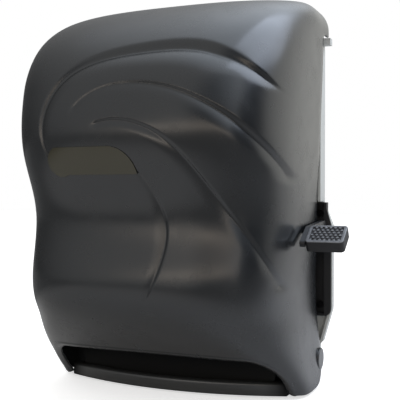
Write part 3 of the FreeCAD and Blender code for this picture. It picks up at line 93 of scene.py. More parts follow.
def new_material(name):
    """An empty node material, its tree and the object coordinates every pattern uses."""
    finish = bpy.data.materials.new(name)
    finish.use_nodes = True
    tree = finish.node_tree
    tree.nodes.clear()
    return finish, tree, add(tree, "ShaderNodeTexCoord", {}).outputs["Object"]


def rgba(colour):
    """A colour with full opacity, as colour sockets take it."""
    return (*colour, 1)


def darker(colour, share):
    """A colour scaled by a share: towards black below 1, and paler above it."""
    return tuple(part * share for part in colour)


def close(tree, shader):
    """Links a shader to the material's output."""
    add(tree, "ShaderNodeOutputMaterial", {"Surface": shader.outputs[0]})


def coat(names, finish):
    """Puts one finish on CAD nodes."""
    for name in names:
        piece = NODES[name]
        for place in piece.material_slots:
            place.material = finish


# ------------------------------------------------------------------ finishes
def moulded(name, colour, shade, rough, grain, depth, edge, specular=0.5):
    """Injection-moulded plastic: cloudy colour, a fine spark-eroded grain and softened edges."""
    finish, tree, at = new_material(name)
    cloud = add(tree, "ShaderNodeTexNoise", {"Vector": at, "Scale": per(70), "Detail": 3.0})
    tint = add(tree, "ShaderNodeMix", {"Factor": cloud.outputs["Fac"], "A": rgba(colour), "B": rgba(shade)},
               data_type="RGBA")
    grit = add(tree, "ShaderNodeTexNoise", {"Vector": at, "Scale": per(grain), "Detail": 2.0})
    worn = add(tree, "ShaderNodeTexNoise", {"Vector": at, "Scale": per(24), "Detail": 4.0})
    gloss = add(tree, "ShaderNodeMapRange", {"Value": worn.outputs["Fac"], "From Min": 0.3, "From Max": 0.7,
                                             "To Min": rough - 0.03, "To Max": rough + 0.04})
    round_off = add(tree, "ShaderNodeBevel", {"Radius": edge / 1000}, samples=4)
    bump = add(tree, "ShaderNodeBump", {"Height": grit.outputs["Fac"], "Distance": depth / 1000,
                                        "Strength": 0.6, "Normal": round_off.outputs["Normal"]})
    close(tree, add(tree, "ShaderNodeBsdfPrincipled", {
        "Base Color": tint.outputs["Result"], "Roughness": gloss.outputs["Result"],
        "Normal": bump.outputs["Normal"], "IOR": 1.52, "Specular IOR Level": specular}))
    return finish


def chute_plastic_painted_shade(name, colour, shade, ledge_deep, chute_deep):
    """Black moulding that is polished at the front ledge and grained and matt in the chute, where painted
    shade darkens its colour to black.
    """
    finish, tree, at = new_material(name)
    cloud = add(tree, "ShaderNodeTexNoise", {"Vector": at, "Scale": per(60), "Detail": 3.0})
    out = add(tree, "ShaderNodeSeparateXYZ", {"Vector": at})
    front = add(tree, "ShaderNodeMapRange", {"Value": out.outputs["Y"], "From Min": -chute_deep / 1000,
                                             "From Max": -ledge_deep / 1000})
    tint = add(tree, "ShaderNodeMix", {"Factor": cloud.outputs["Fac"], "A": rgba(colour), "B": rgba(shade)},
               data_type="RGBA")
    # Painted shade: deeper in the chute the colour goes to a third of the shade tone.
    deep = add(tree, "ShaderNodeMix", {"Factor": front.outputs["Result"], "A": rgba(darker(shade, 0.3)),
                                       "B": tint.outputs["Result"]}, data_type="RGBA")
    matt = add(tree, "ShaderNodeMapRange", {"Value": front.outputs["Result"], "To Min": 0.8, "To Max": 0.4})
    grit = add(tree, "ShaderNodeTexNoise", {"Vector": at, "Scale": per(0.9), "Detail": 2.0})
    round_off = add(tree, "ShaderNodeBevel", {"Radius": 0.0006}, samples=4)
    bump = add(tree, "ShaderNodeBump", {"Height": grit.outputs["Fac"], "Distance": 0.00001,
                                        "Strength": 0.6, "Normal": round_off.outputs["Normal"]})
    close(tree, add(tree, "ShaderNodeBsdfPrincipled", {
        "Base Color": deep.outputs["Result"], "Roughness": matt.outputs["Result"],
        "Normal": bump.outputs["Normal"], "IOR": 1.52, "Specular IOR Level": 0.2,
        "Coat Weight": front.outputs["Result"], "Coat Roughness": 0.24,
        "Coat Normal": bump.outputs["Normal"]}))
    return finish


def rubber(name, colour, shade, rough, grain, depth):
    """Moulded rubber: matt, faintly dusty, with a soft uneven skin."""
    finish, tree, at = new_material(name)
    dust = add(tree, "ShaderNodeTexNoise", {"Vector": at, "Scale": per(14), "Detail": 5.0})
    tint = add(tree, "ShaderNodeMix", {"Factor": dust.outputs["Fac"], "A": rgba(colour), "B": rgba(shade)},
               data_type="RGBA")
    pores = add(tree, "ShaderNodeTexVoronoi", {"Vector": at, "Scale": per(grain)}, feature="SMOOTH_F1")
    bump = add(tree, "ShaderNodeBump", {"Height": pores.outputs["Distance"], "Distance": depth / 1000,
                                        "Strength": 0.5})
    close(tree, add(tree, "ShaderNodeBsdfPrincipled", {
        "Base Color": tint.outputs["Result"], "Roughness": rough, "Normal": bump.outputs["Normal"],
        "IOR": 1.52, "Sheen Weight": 0.15, "Sheen Roughness": 0.5}))
    return finish


def studded_rubber_painted_tops(name, colour, worn, across, level, tall):
    """Moulded rubber with studs: black between them, and smoother tops that carry a painted highlight, greyer
    and broken up by noise.
    """
    finish, tree, at = new_material(name)
    height = add(tree, "ShaderNodeVectorMath", {0: at, 1: across}, operation="DOT_PRODUCT")
    top = add(tree, "ShaderNodeMapRange", {"Value": height.outputs["Value"], "From Min": level - tall * 0.7,
                                           "From Max": level - tall * 0.2})
    dust = add(tree, "ShaderNodeTexNoise", {"Vector": at, "Scale": per(6), "Detail": 5.0})
    # Painted highlight: the stud tops are mixed towards the pale grey tone in patches.
    painted_top_highlight = add(tree, "ShaderNodeMath", {0: top.outputs["Result"], 1: dust.outputs["Fac"]},
                 operation="MULTIPLY")
    tint = add(tree, "ShaderNodeMix", {"Factor": painted_top_highlight.outputs[0], "A": rgba(colour), "B": rgba(worn)},
               data_type="RGBA")
    gloss = add(tree, "ShaderNodeMapRange", {"Value": top.outputs["Result"], "To Min": 0.7, "To Max": 0.36})
    pores = add(tree, "ShaderNodeTexVoronoi", {"Vector": at, "Scale": per(0.9)}, feature="SMOOTH_F1")
    round_off = add(tree, "ShaderNodeBevel", {"Radius": 0.0004}, samples=4)
    bump = add(tree, "ShaderNodeBump", {"Height": pores.outputs["Distance"], "Distance": 0.00002,
                                        "Strength": 0.5, "Normal": round_off.outputs["Normal"]})
    close(tree, add(tree, "ShaderNodeBsdfPrincipled", {
        "Base Color": tint.outputs["Result"], "Roughness": gloss.outputs["Result"],
        "Normal": bump.outputs["Normal"], "IOR": 1.52}))
    return finish


def metal(name, colour, shade, rough, stretch, depth):
    """Bare or plated metal: fine lines or specks left by drawing, stamping or plating."""
    finish, tree, at = new_material(name)
    along = add(tree, "ShaderNodeMapping", {"Vector": at, "Scale": stretch})
    lines = add(tree, "ShaderNodeTexNoise", {"Vector": along.outputs["Vector"], "Scale": per(1),
                                             "Detail": 4.0})
    tint = add(tree, "ShaderNodeMix", {"Factor": lines.outputs["Fac"], "A": rgba(colour), "B": rgba(shade)},
               data_type="RGBA")
    gloss = add(tree, "ShaderNodeMapRange", {"Value": lines.outputs["Fac"], "From Min": 0.3, "From Max": 0.7,
                                             "To Min": rough - 0.05, "To Max": rough + 0.06})
    round_off = add(tree, "ShaderNodeBevel", {"Radius": 0.0003}, samples=4)
    bump = add(tree, "ShaderNodeBump", {"Height": lines.outputs["Fac"], "Distance": depth / 1000,
                                        "Strength": 0.5, "Normal": round_off.outputs["Normal"]})
    close(tree, add(tree, "ShaderNodeBsdfPrincipled", {
        "Base Color": tint.outputs["Result"], "Metallic": 1.0, "Roughness": gloss.outputs["Result"],
        "Normal": bump.outputs["Normal"]}))
    return finish


# ------------------------------------------------------------------ cover form, in millimetres
TOP = 209.5
HEM = -209.5
# The front's stations: level, half width there, and how far the front is from the wall.
LEVELS = np.array([HEM, -165, -112, -62, -15, 38, 90, 150, TOP])
HALVES = np.array([147, 142.5, 138, 138.5, 139.5, 142, 144, 146, 147])
DEEPS = np.array([103, 159, 218, 219, 215, 235, 234, 209, 154])
# Each level section is a superellipse from where the straight flanks end. A greater power is squarer:
# the crown softens it from its level upward, and the hem squares it from its level downward.
FLANK_DEEP = 24
CORNER_POWER = 4.3
CROWN_SOFTER = 2.1
CROWN_LEVEL = 147
CROWN_TALL = 62.5
HEM_SQUARER = 4.7
HEM_LEVEL = -119.5
HEM_TALL = 90
# The crown's quarter rounds at the sides and at the front.
CROWN_SIDE = 31
CROWN_FRONT = 109
# The rear edge: its distance from the wall, its rounds at hem and top, and the lever shaft's notch.
REAR_DEEP = 25.5
HEM_TURN = -181.5
HEM_ROUND = 26.5
TOP_TURN = 165
TOP_ROUND = 9.5
NOTCH_LEVEL = -40
NOTCH_ROUND = 8.5
NOTCH_DEEP = 21.5
# The top reaches nearly to the wall from this level up.
WRAP = 174.5
WRAP_DEEP = 2.0
LIP = 1.5
MOUTH_HALF = 130
MOUTH_TOP = -167
MOUTH_ROUND = 29.5
# The roll round the mouth, and the raised bead behind it.
ROLL_WIDE = 6
ROLL_DEEP = 2.4
BEAD_WIDE = 1.4
BEAD_TALL = 0.6
LOCK_DEEP = 26
# The mesh: row spacing, half width of its front columns, and where relief lines and roll are pressed in.
GRID = 1.35
ROW_LEAST = 0.45
NEAR = 0.01
FRONT_HALF = 100
FRONT_DEEP = 60
RELIEF_LOW = -118
RELIEF_HIGH = 160
ROLL_REACH = 12
REAR_STEPS = 40
# Heights of the rows just above the mouth's top edge, which follow the roll and the bead.
LIP_ROWS = (0.6, 1.3, 2.1, 3, 4, 5, 5.8, 6.4, 7, 7.6, 8.6, 10.5, 13.5)
# The hinge ears: the hinge's distance from the wall and level, and their half width and radius by ring.
HINGE_DEEP = 31
HINGE_LEVEL = -183
EAR_TURNS = 48
EAR_PROFILE = [(139.9, 11.4), (140.5, 12.0), (144.9, 12.0), (145.5, 11.8), (145.86, 11.3), (145.94, 10.4),
               (145.94, 6.0), (145.94, 2.0)]
# The lock recess and its bore: radius and level of each ring on the skin, and on the wall's inner face.
LOCK_RINGS = [((13.4, 209.5), (16.4, 206.5)), ((12.98, 209.38), (16.2, 206.45)),
              ((12.8, 209.0), (16.0, 206.3)), ((12.8, 207.5), (15.8, 204.5)),
              ((12.5, 207.0), (15.5, 204.0)), ((9.6, 207.0), (12.4, 204.0)),
              ((9.1, 206.6), (12.1, 203.6)), ((9.1, 202.0), (12.1, 202.0))]
# The swept relief lines of the front: points across and up, where along the line it is strongest, and
# at its ends and there the width of the wall under it, the width of the roll below, and the depth.
RELIEF = [
    ([(-52, 14), (-68, 24), (-82, 60), (-56, 117), (18, 142), (95, 136), (143, 92)],
     0.8, (2.4, 9.5), (8, 22), (1.3, 5.0)),
    ([(-49, 74), (-20, 97), (25, 102.5), (87, 85), (125, 56), (140, 5)],
     0.75, (2.2, 4.0), (7, 15), (0.9, 2.6)),
    ([(-24, 63), (5, 68), (60, 45), (97, -6), (123, -49), (137, -99)],
     0.5, (2.2, 3.0), (6, 12), (1.0, 2.0)),
    ([(22, 22), (36, -1), (47, -33), (44, -66), (26, -105)],
     0.55, (2.2, 3.0), (6, 12), (0.9, 2.0)),
]


def cubic(knots, values, wanted):
    """A smooth curve through points, with end slopes from the cubic through four of them."""
    def end_slope(xs, ys):
        terms = []
        for j in range(4):
            others = [k for k in range(4) if k != j]
            if j == 0:
                weight = sum(1 / (xs[0] - xs[k]) for k in others)
            else:
                weight = 1 / (xs[j] - xs[0])
                for k in others:
                    if k != 0:
                        weight *= (xs[0] - xs[k]) / (xs[j] - xs[k])
            terms.append(weight * ys[j])
        return sum(terms)

    count = len(knots)
    gaps = np.diff(knots)
    slopes = np.diff(values) / gaps
    system = np.zeros((count, count))
    target = np.zeros(count)
    system[0, 0] = system[-1, -1] = 1
    target[0] = end_slope(knots[:4], values[:4])
    target[-1] = end_slope(knots[::-1][:4], values[::-1][:4])
    for i in range(1, count - 1):
        system[i, i - 1] = gaps[i]
        system[i, i] = 2 * (gaps[i - 1] + gaps[i])
        system[i, i + 1] = gaps[i - 1]
        target[i] = 3 * (gaps[i] * slopes[i - 1] + gaps[i - 1] * slopes[i])
    tangents = np.linalg.solve(system, target)
    spot = np.clip(np.searchsorted(knots, wanted) - 1, 0, count - 2)
    gap = gaps[spot]
    share = (wanted - knots[spot]) / gap
    return ((2 * share ** 3 - 3 * share ** 2 + 1) * values[spot]
            + (share ** 3 - 2 * share ** 2 + share) * gap * tangents[spot]
            + (3 * share ** 2 - 2 * share ** 3) * values[spot + 1]
            + (share ** 3 - share ** 2) * gap * tangents[spot + 1])


def crown_inset(level, radius):
    """How far the quarter-round crown has drawn in at a level."""
    rise = max(0.0, level - (TOP - radius))
    return radius - math.sqrt(max(0.0, radius * radius - rise * rise))


def section(level, rear_right, rear_left):
    """One level section of the cover's skin, from the right rear edge round the front to the left."""
    half = float(cubic(LEVELS, HALVES, np.array([level]))[0]) - crown_inset(level, CROWN_SIDE)
    deep = float(cubic(LEVELS, DEEPS, np.array([level]))[0]) - crown_inset(level, CROWN_FRONT)
    low = min(1.0, max(0.0, HEM_LEVEL - level) / HEM_TALL)
    high = max(0.0, level - CROWN_LEVEL) / CROWN_TALL
    power = CORNER_POWER - CROWN_SOFTER * high ** 2 + HEM_SQUARER * low ** 2 * (3 - 2 * low)
    turn = np.linspace(0, math.pi, 721)
    across, out = np.cos(turn), np.sin(turn)
    reach = (np.abs(across) ** power + np.abs(out) ** power) ** (-1 / power)
    x = half * reach * across
    d = FLANK_DEEP + (deep - FLANK_DEEP) * reach * out
    if rear_right < FLANK_DEEP:
        x, d = np.append(half, x), np.append(rear_right, d)
    if rear_left < FLANK_DEEP:
        x, d = np.append(x, -half), np.append(d, rear_left)
    return x, d


def rear_edge(level, notched):
    """How far from the wall the cover's rear edge is at a level, short of its rounded lip."""
    if level < HEM_TURN:
        return REAR_DEEP + HEM_ROUND - math.sqrt(max(0.0, HEM_ROUND ** 2 - (level - HEM_TURN) ** 2))
    if level > TOP_TURN:
        return REAR_DEEP - TOP_ROUND + math.sqrt(max(0.0, TOP_ROUND ** 2 - (level - TOP_TURN) ** 2))
    if notched and abs(level - NOTCH_LEVEL) < NOTCH_ROUND:
        notch = math.sqrt(NOTCH_ROUND ** 2 - (level - NOTCH_LEVEL) ** 2)
        return max(REAR_DEEP, NOTCH_DEEP + notch)
    return REAR_DEEP


def mouth_edge(level):
    """Half width of the mouth at a level, with its rounded upper corners."""
    rise = max(0.0, level - (MOUTH_TOP - MOUTH_ROUND))
    return MOUTH_HALF - MOUTH_ROUND + math.sqrt(max(0.0, MOUTH_ROUND ** 2 - rise ** 2))


def mouth_roll(x, z):
    """Depth of the roll round the mouth: it turns in at the edge, from a slightly raised bead."""
    aside = np.abs(x) - (MOUTH_HALF - MOUTH_ROUND)
    above = z - (MOUTH_TOP - MOUTH_ROUND)
    away = np.where(above > 0, np.hypot(np.maximum(aside, 0), above), aside) - MOUTH_ROUND
    bead = 1 - smooth(np.clip((away - ROLL_WIDE) / BEAD_WIDE, 0, 1))
    return ROLL_DEEP * np.clip(1 - away / ROLL_WIDE, 0, 1) ** 2 - BEAD_TALL * bead


def cover_rows():
    """Levels of the mesh rows, closing in where an outline turns."""
    middle = MOUTH_TOP - MOUTH_ROUND
    rows = [HEM + LIP, HEM + 3.5, HEM + 6.5]
    rows += [middle + MOUTH_ROUND * math.sin(math.radians(turn)) for turn in range(0, 91, 6)]
    rows += [MOUTH_TOP + rise for rise in LIP_ROWS]
    rows += list(np.arange(MOUTH_TOP + 17, -112, 4.5))
    rows += list(np.arange(-110, CROWN_LEVEL, GRID))
    rows += [TOP - CROWN_FRONT + CROWN_FRONT * math.sin(math.radians(turn))
             for turn in np.arange(25, 90.1, 2.5)]
    rows += [168.4, 171.2, 173.2, WRAP]
    fixed = (WRAP, MOUTH_TOP, TOP)
    keep = []
    for level in sorted(rows):
        if keep and level - keep[-1] < ROW_LEAST:
            if min(abs(level - stop) for stop in fixed) < NEAR:
                keep[-1] = level
            continue
        keep.append(level)
    return keep


def smooth(share):
    """An S-shaped ramp from 0 to 1."""
    return share * share * (3 - 2 * share)


def relief_field(x, z):
    """Depth of the swept relief lines at points of the front: a steep wall, then a soft roll below."""
    depth = np.zeros_like(x)
    for points, peak, wall, roll, deep in RELIEF:
        line = np.array(points, float)
        steps = np.append(0, np.cumsum(np.linalg.norm(np.diff(line, axis=0), axis=1)))
        dense = np.linspace(0, steps[-1], 400)
        track = np.stack([cubic(steps, line[:, 0], dense), cubic(steps, line[:, 1], dense)], 1)
        along = np.gradient(track, axis=0)
        along /= np.linalg.norm(along, axis=1)[:, None]
        for start in range(0, len(x), 4000):
            part = slice(start, start + 4000)
            away = np.stack([x[part], z[part]], 1)[:, None, :] - track[None, :, :]
            nearest = np.linalg.norm(away, axis=2).argmin(1)
            apart = away[np.arange(len(nearest)), nearest]
            side = apart[:, 0] * along[nearest, 1] - apart[:, 1] * along[nearest, 0]
            share = dense[nearest] / steps[-1]
            swell = np.where(share < peak, share / peak, (1 - share) / (1 - peak))
            swell = np.sin(swell * math.pi / 2) ** 1.6
            ends = smooth(np.clip(np.minimum(share, 1 - share) / 0.04, 0, 1))
            foot, rest, sink = (low + (high - low) * swell for low, high in (wall, roll, deep))
            fall = smooth(np.clip(side / foot, 0, 1))
            rise = np.clip(1 - (side - foot) / rest, 0, 1) ** 2
            depth[part] = np.maximum(depth[part], sink * ends * fall * rise)
    return depth


def skin_normals(points, faces):
    """Outward unit normals at the points of a skin of four-sided faces."""
    corners = np.array(faces)
    a, b, c, d = (points[corners[:, index]] for index in range(4))
    flat = np.cross(c - a, d - b)
    normals = np.zeros_like(points)
    for index in range(4):
        np.add.at(normals, corners[:, index], flat)
    return normals / np.maximum(np.linalg.norm(normals, axis=1), 1e-9)[:, None]


def shell(outer, faces, back, inner):
    """Closes a skin and its inner face into a wall with a half-round lip along every open edge."""
    for vertex, spot in inner.items():
        back[vertex] = spot
    count = len(outer)
    points = [outer, back]
    walls = [tuple(face) for face in faces] + [tuple(vertex + count for vertex in reversed(face))
                                               for face in faces]
    edges = {}
    for face in faces:
        for a, b in zip(face, face[1:] + face[:1]):
            edges[(a, b)] = edges.get((a, b), 0) + 1
    border = {a: b for a, b in edges if (b, a) not in edges}
    before = {b: a for a, b in border.items()}
    arcs = {}
    extra = []
    at = 2 * count
    for vertex, follower in border.items():
        along = outer[follower] - outer[before[vertex]]
        along /= np.linalg.norm(along)
        reach = outer[vertex] - back[vertex]
        half = np.linalg.norm(reach) / 2
        up = reach / (2 * half)
        out = np.cross(along, up)
        out /= np.linalg.norm(out)
        middle = (outer[vertex] + back[vertex]) / 2
        ring = [vertex]
        for turn in (30, 60, 90, 120, 150):
            tilt = math.radians(turn)
            extra.append(middle + up * half * math.cos(tilt) + out * half * math.sin(tilt))
            ring.append(at)
            at += 1
        arcs[vertex] = ring + [vertex + count]
    for vertex, follower in border.items():
        here, there = arcs[vertex], arcs[follower]
        for step in range(len(here) - 1):
            walls.append((there[step], here[step], here[step + 1], there[step + 1]))
    return np.concatenate(points + [np.array(extra)]), walls


def make_piece(name, points, faces, finish):
    """A smooth-shaded mesh object from points in millimetres across, out from the wall, and up."""
    mesh = bpy.data.meshes.new(name)
    spots = np.stack([points[:, 0], -points[:, 1], points[:, 2]], 1) / 1000
    mesh.from_pydata(spots.tolist(), [], [tuple(face) for face in faces])
    mesh.validate()
    mesh.polygons.foreach_set("use_smooth", [True] * len(mesh.polygons))
    mesh.materials.append(finish)
    piece = bpy.data.objects.new(name, mesh)
    bpy.context.scene.collection.objects.link(piece)
    return piece


def thin_out(piece, vertices, share):
    """Merges the small faces of a smooth region that needs fewer of them."""
    region = piece.vertex_groups.new(name="region")
    region.add(list(vertices), 1.0, "REPLACE")
    fewer = piece.modifiers.new("fewer", "DECIMATE")
    fewer.vertex_group = region.name
    fewer.ratio = 0.5 + share / 2
    bpy.context.view_layer.update()
    seen = piece.evaluated_get(bpy.context.evaluated_depsgraph_get())
    mesh = bpy.data.meshes.new_from_object(seen)
    piece.modifiers.clear()
    piece.vertex_groups.clear()
    piece.data = mesh


def cover_skin():
    """The cover's outer skin with its mouth, rear outline, flat top and lock recess."""
    rows = cover_rows()
    shares = {"wrap_r": np.linspace(0, 1, 5),
              "right": np.concatenate([np.linspace(0, 0.45, 12), np.linspace(0.45, 1, 76)[1:]]),
              "middle": np.linspace(0, 1, 158), "left": np.linspace(0, 1, 40), "wrap_l": np.linspace(0, 1, 5)}
    starts = {}
    last = 0
    for name, steps in shares.items():
        starts[name] = last
        last += len(steps) - 1
    grid = {}
    points = []
    shift = MOUTH_HALF - MOUTH_ROUND
    top_edge = REAR_DEEP - TOP_ROUND
    for row in range(len(rows) - 1, -1, -1):
        level = rows[row]
        wrapped = level > WRAP - NEAR
        below_mouth = level < MOUTH_TOP - NEAR
        rear_r = rear_edge(level, True)
        rear_l = rear_edge(level, False)
        x, d = section(level, WRAP_DEEP if wrapped else min(rear_r, FLANK_DEEP),
                       WRAP_DEEP if wrapped else min(rear_l, FLANK_DEEP))
        s = np.append(0, np.cumsum(np.hypot(np.diff(x), np.diff(d))))
        half = len(x) // 2
        first_r = float(np.interp(top_edge if wrapped else rear_r, d[:half], s[:half]))
        first_l = float(np.interp(top_edge if wrapped else rear_l, d[:half:-1], s[:half:-1]))
        if below_mouth:
            edge_r = float(np.interp(-mouth_edge(level), -x[1:-1], s[1:-1]))
            edge_l = float(np.interp(mouth_edge(level), -x[1:-1], s[1:-1]))
        else:
            blend = smooth(min(1.0, (level - MOUTH_TOP) / 60))
            corner = shift + (FRONT_HALF - shift) * blend
            edge_r = float(np.interp(-corner, -x[1:-1], s[1:-1]))
            edge_l = float(np.interp(corner, -x[1:-1], s[1:-1]))
        spans = {"wrap_r": (0.0, first_r), "right": (first_r, edge_r), "middle": (edge_r, edge_l),
                 "left": (edge_l, first_l), "wrap_l": (first_l, float(s[-1]))}
        for name, steps in shares.items():
            if (name.startswith("wrap") and not wrapped) or (name == "middle" and below_mouth):
                continue
            low, high = spans[name]
            for index, share in enumerate(steps):
                column = starts[name] + index
                if (row, column) not in grid:
                    grid[(row, column)] = len(points)
                    spot = low + (high - low) * share
                    points.append((float(np.interp(spot, s, x)), float(np.interp(spot, s, d)), level))
    faces = []
    for row in range(len(rows) - 1):
        for column in range(last):
            corners = [(row, column), (row, column + 1), (row + 1, column + 1), (row + 1, column)]
            across_mouth = starts["middle"] <= column < starts["left"] and rows[row] < MOUTH_TOP - NEAR
            if all(corner in grid for corner in corners) and not across_mouth:
                faces.append([grid[corner] for corner in corners])
    points = np.array(points)
    front = (points[:, 1] > FRONT_DEEP) & (points[:, 2] > RELIEF_LOW) & (points[:, 2] < RELIEF_HIGH)
    sunk = np.zeros(len(points))
    sunk[front] = relief_field(points[front, 0], points[front, 2])
    low = (points[:, 1] > FRONT_DEEP) & (points[:, 2] < MOUTH_TOP + ROLL_REACH)
    sunk[low] = mouth_roll(points[low, 0], points[low, 2])
    flat_skin = points.copy()
    points = points - skin_normals(points, faces) * sunk[:, None]
    # The flat top: rings from the crown's edge to the lock recess, then down through its bore.
    top = [grid[(len(rows) - 1, column)] for column in range(last + 1)]
    ends = points[top[-1]], points[top[0]]
    rear = [len(points) + index for index in range(REAR_STEPS - 1)]
    rear_points = [ends[0] + (ends[1] - ends[0]) * index / REAR_STEPS for index in range(1, REAR_STEPS)]
    loop = top + rear
    points = np.concatenate([points, np.array(rear_points)])
    flat_skin = np.concatenate([flat_skin, np.array(rear_points)])
    outline = points[loop]
    bearing = np.arctan2(outline[:, 1] - LOCK_DEEP, outline[:, 0])
    around = np.stack([np.cos(bearing), np.sin(bearing)], 1)
    inner = {}
    ring_before = loop
    rings = [(share, None, None) for share in (0.25, 0.5, 0.75)]
    rings += [(1, spot, back) for spot, back in LOCK_RINGS]
    for share, spot, back in rings:
        radius, level = spot or (LOCK_RINGS[0][0][0], TOP)
        circle = np.stack([around[:, 0] * radius, LOCK_DEEP + around[:, 1] * radius,
                           np.full(len(loop), float(level))], 1)
        ring_points = outline + (circle - outline) * share
        ring = [len(points) + index for index in range(len(loop))]
        if back:
            for vertex, way in zip(ring, around):
                inner[vertex] = (way[0] * back[0], LOCK_DEEP + way[1] * back[0], back[1])
        points = np.concatenate([points, ring_points])
        flat_skin = np.concatenate([flat_skin, ring_points])
        count = len(loop)
        for index in range(count):
            after = (index + 1) % count
            faces.append([ring_before[index], ring_before[after], ring[after], ring[index]])
        ring_before = ring
    return points, flat_skin, faces, inner


def ear(side):
    """A hinge ear: a disc with a softened rim, proud of the cover's wall."""
    points = []
    faces = []
    for x, radius in EAR_PROFILE:
        for index in range(EAR_TURNS):
            angle = 2 * math.pi * index / EAR_TURNS
            points.append((side * x, HINGE_DEEP + radius * math.cos(angle),
                           HINGE_LEVEL + radius * math.sin(angle)))
    for ring in range(len(EAR_PROFILE) - 1):
        for index in range(EAR_TURNS):
            after = (index + 1) % EAR_TURNS
            a, b = ring * EAR_TURNS, (ring + 1) * EAR_TURNS
            faces.append([a + index, b + index, b + after, a + after])
    last = (len(EAR_PROFILE) - 1) * EAR_TURNS
    faces.append(list(range(EAR_TURNS)))
    faces.append([last + index for index in range(EAR_TURNS - 1, -1, -1)])
    if side > 0:
        faces = [face[::-1] for face in faces]
    return points, faces


# ------------------------------------------------------------------ stage, in metres
# Linear level that matt surfaces see all round, and the lift of the floor in the camera's view.
ROOM_LEVEL = 0.75
FLOOR_LIFT = 0.6
FLOOR_TICKS = 9
# Painted shade on the floor that only glossy faces see: way, distances it runs between, and what is left.
FLOOR_PAINTED_SHADE = (((0.77, -0.64, 0), 0.2, 0.6, 0.3), ((-0.95, 0.3, 0), 0.2, 0.5, 0.3))
# What glossy faces see in place of the white surroundings: a pale room with zones. Each has a
# direction, a stretch, where it starts and is full as a cosine, its radiance and its tone. They suit
# this stage's camera alone. The left rear and ceiling zones and the top softbox come from a fit.
ROOM_TONE = "FDFEFF"
ROOM_RADIANCE = 0.9
ROOM_ZONES = {
    "left rear": ((-0.80, 0.33, -0.50), (1, 1, 0.64), -0.2, 1.0, 0.05, "FFFFFF"),
    "front": ((0.56, -0.80, 0.21), (1, 1, 1.2), 0.7, 0.93, 0.33, "E4EEFC"),
    "ceiling": ((0.62, 0.28, 1.0), (1, 1, 1), 0.36, 1.0, 2.8, "E9F3FF"),
    "right": ((0.97, 0.20, 0.12), (1, 1, 1.7), 0.78, 0.95, 0.03, "E0E8FF"),
    "right rear": ((0.42, 0.90, 0.09), (1, 1, 1), 0.7, 0.95, 1.0, "FFFFFA"),
}
# Softboxes: place, aim, width, height, radiance and colour.
SOFTBOXES = {
    "top_softbox": ((0.584, 0.078, 0.652), (0, -0.1, 0.05), 0.70, 0.80, 2.6, "DDE9FF"),
    "band_softbox": ((0.46, -0.80, 0.085), (0.3, -0.1, -0.05), 1.7, 0.085, 2.9, "FFEEDA"),
}
CAMERA_PLACE = (0.3511, -0.8534, -0.0003)
CAMERA_AIM = (0.0350, -0.1100, -0.0088)
CAMERA_SENSOR = 36


# ------------------------------------------------------------------ sizes and colours
class DispenserSizes(bpy.types.PropertyGroup):
    """Sizes of the dispenser's moulded cover and of the studio."""

    cover_wall: FloatProperty(name="Cover wall", description="Thickness of the cover's wall",
                              default=0.003, unit="LENGTH", subtype="DISTANCE")
    pad_tilt: FloatProperty(name="Pad tilt", description="Fall of the lever pad towards the front",
                            default=math.radians(32.5), unit="ROTATION", subtype="ANGLE")
    stud_tall: FloatProperty(name="Stud height", description="Height of the pad's grip studs",
                             default=0.0009, unit="LENGTH", subtype="DISTANCE")
    floor_gap: FloatProperty(name="Floor gap", description="How far the floor is below the dispenser",
                             default=0.003, unit="LENGTH", subtype="DISTANCE")
    floor_reach: FloatProperty(name="Floor reach", description="Half width of the floor",
                               default=6.0, unit="LENGTH", subtype="DISTANCE")
    camera_lens: FloatProperty(name="Lens", description="Focal length of the camera in millimetres",
                               default=68.9)


class DispenserColours(bpy.types.PropertyGroup):
    """Colours of the dispenser's pieces."""

    cover: FloatVectorProperty(name="Cover", description="Smoke black of the cover", subtype="COLOR",
                               default=linear("1B1D1F"))
    badge: FloatVectorProperty(name="Badge place", description="Olive black of the bare badge place",
                               subtype="COLOR", default=linear("292612"))
    back: FloatVectorProperty(name="Back plate", description="Light grey of the back plate",
                              subtype="COLOR", default=linear("B4B6B3"))
    chassis: FloatVectorProperty(name="Chassis", description="Charcoal of the inner frames",
                                 subtype="COLOR", default=linear("39393B"))
    chute: FloatVectorProperty(name="Chute", description="Black of the towel chute", subtype="COLOR",
                               default=linear("2A2B2B"))
    housing: FloatVectorProperty(name="Lever housing", description="Black of the lever housing",
                                 subtype="COLOR", default=linear("0E0E10"))
    lever: FloatVectorProperty(name="Lever", description="Black of the lever arm", subtype="COLOR",
                               default=linear("1D1D1F"))
    pad: FloatVectorProperty(name="Lever pad", description="Black of the rubber lever pad",
                             subtype="COLOR", default=linear("18181A"))
    # Painted highlight: the grey laid on the pad's stud tops.
    pad_painted_highlight: FloatVectorProperty(name="Pad stud highlight", description="Grey highlight painted on the stud tops",
                                  subtype="COLOR", default=linear("8A8C90"))
    gears: FloatVectorProperty(name="Gears", description="Ivory white of the gears", subtype="COLOR",
                               default=linear("E6E2D6"))
    rollers: FloatVectorProperty(name="Rollers", description="Dark grey of the roller cores",
                                 subtype="COLOR", default=linear("46464A"))
    sleeves: FloatVectorProperty(name="Sleeves", description="Grey of the rubber sleeves",
                                 subtype="COLOR", default=linear("3B3B3B"))
    floor: FloatVectorProperty(name="Floor", description="Pale grey of the floor", subtype="COLOR",
                               default=linear("F2F2F2"))


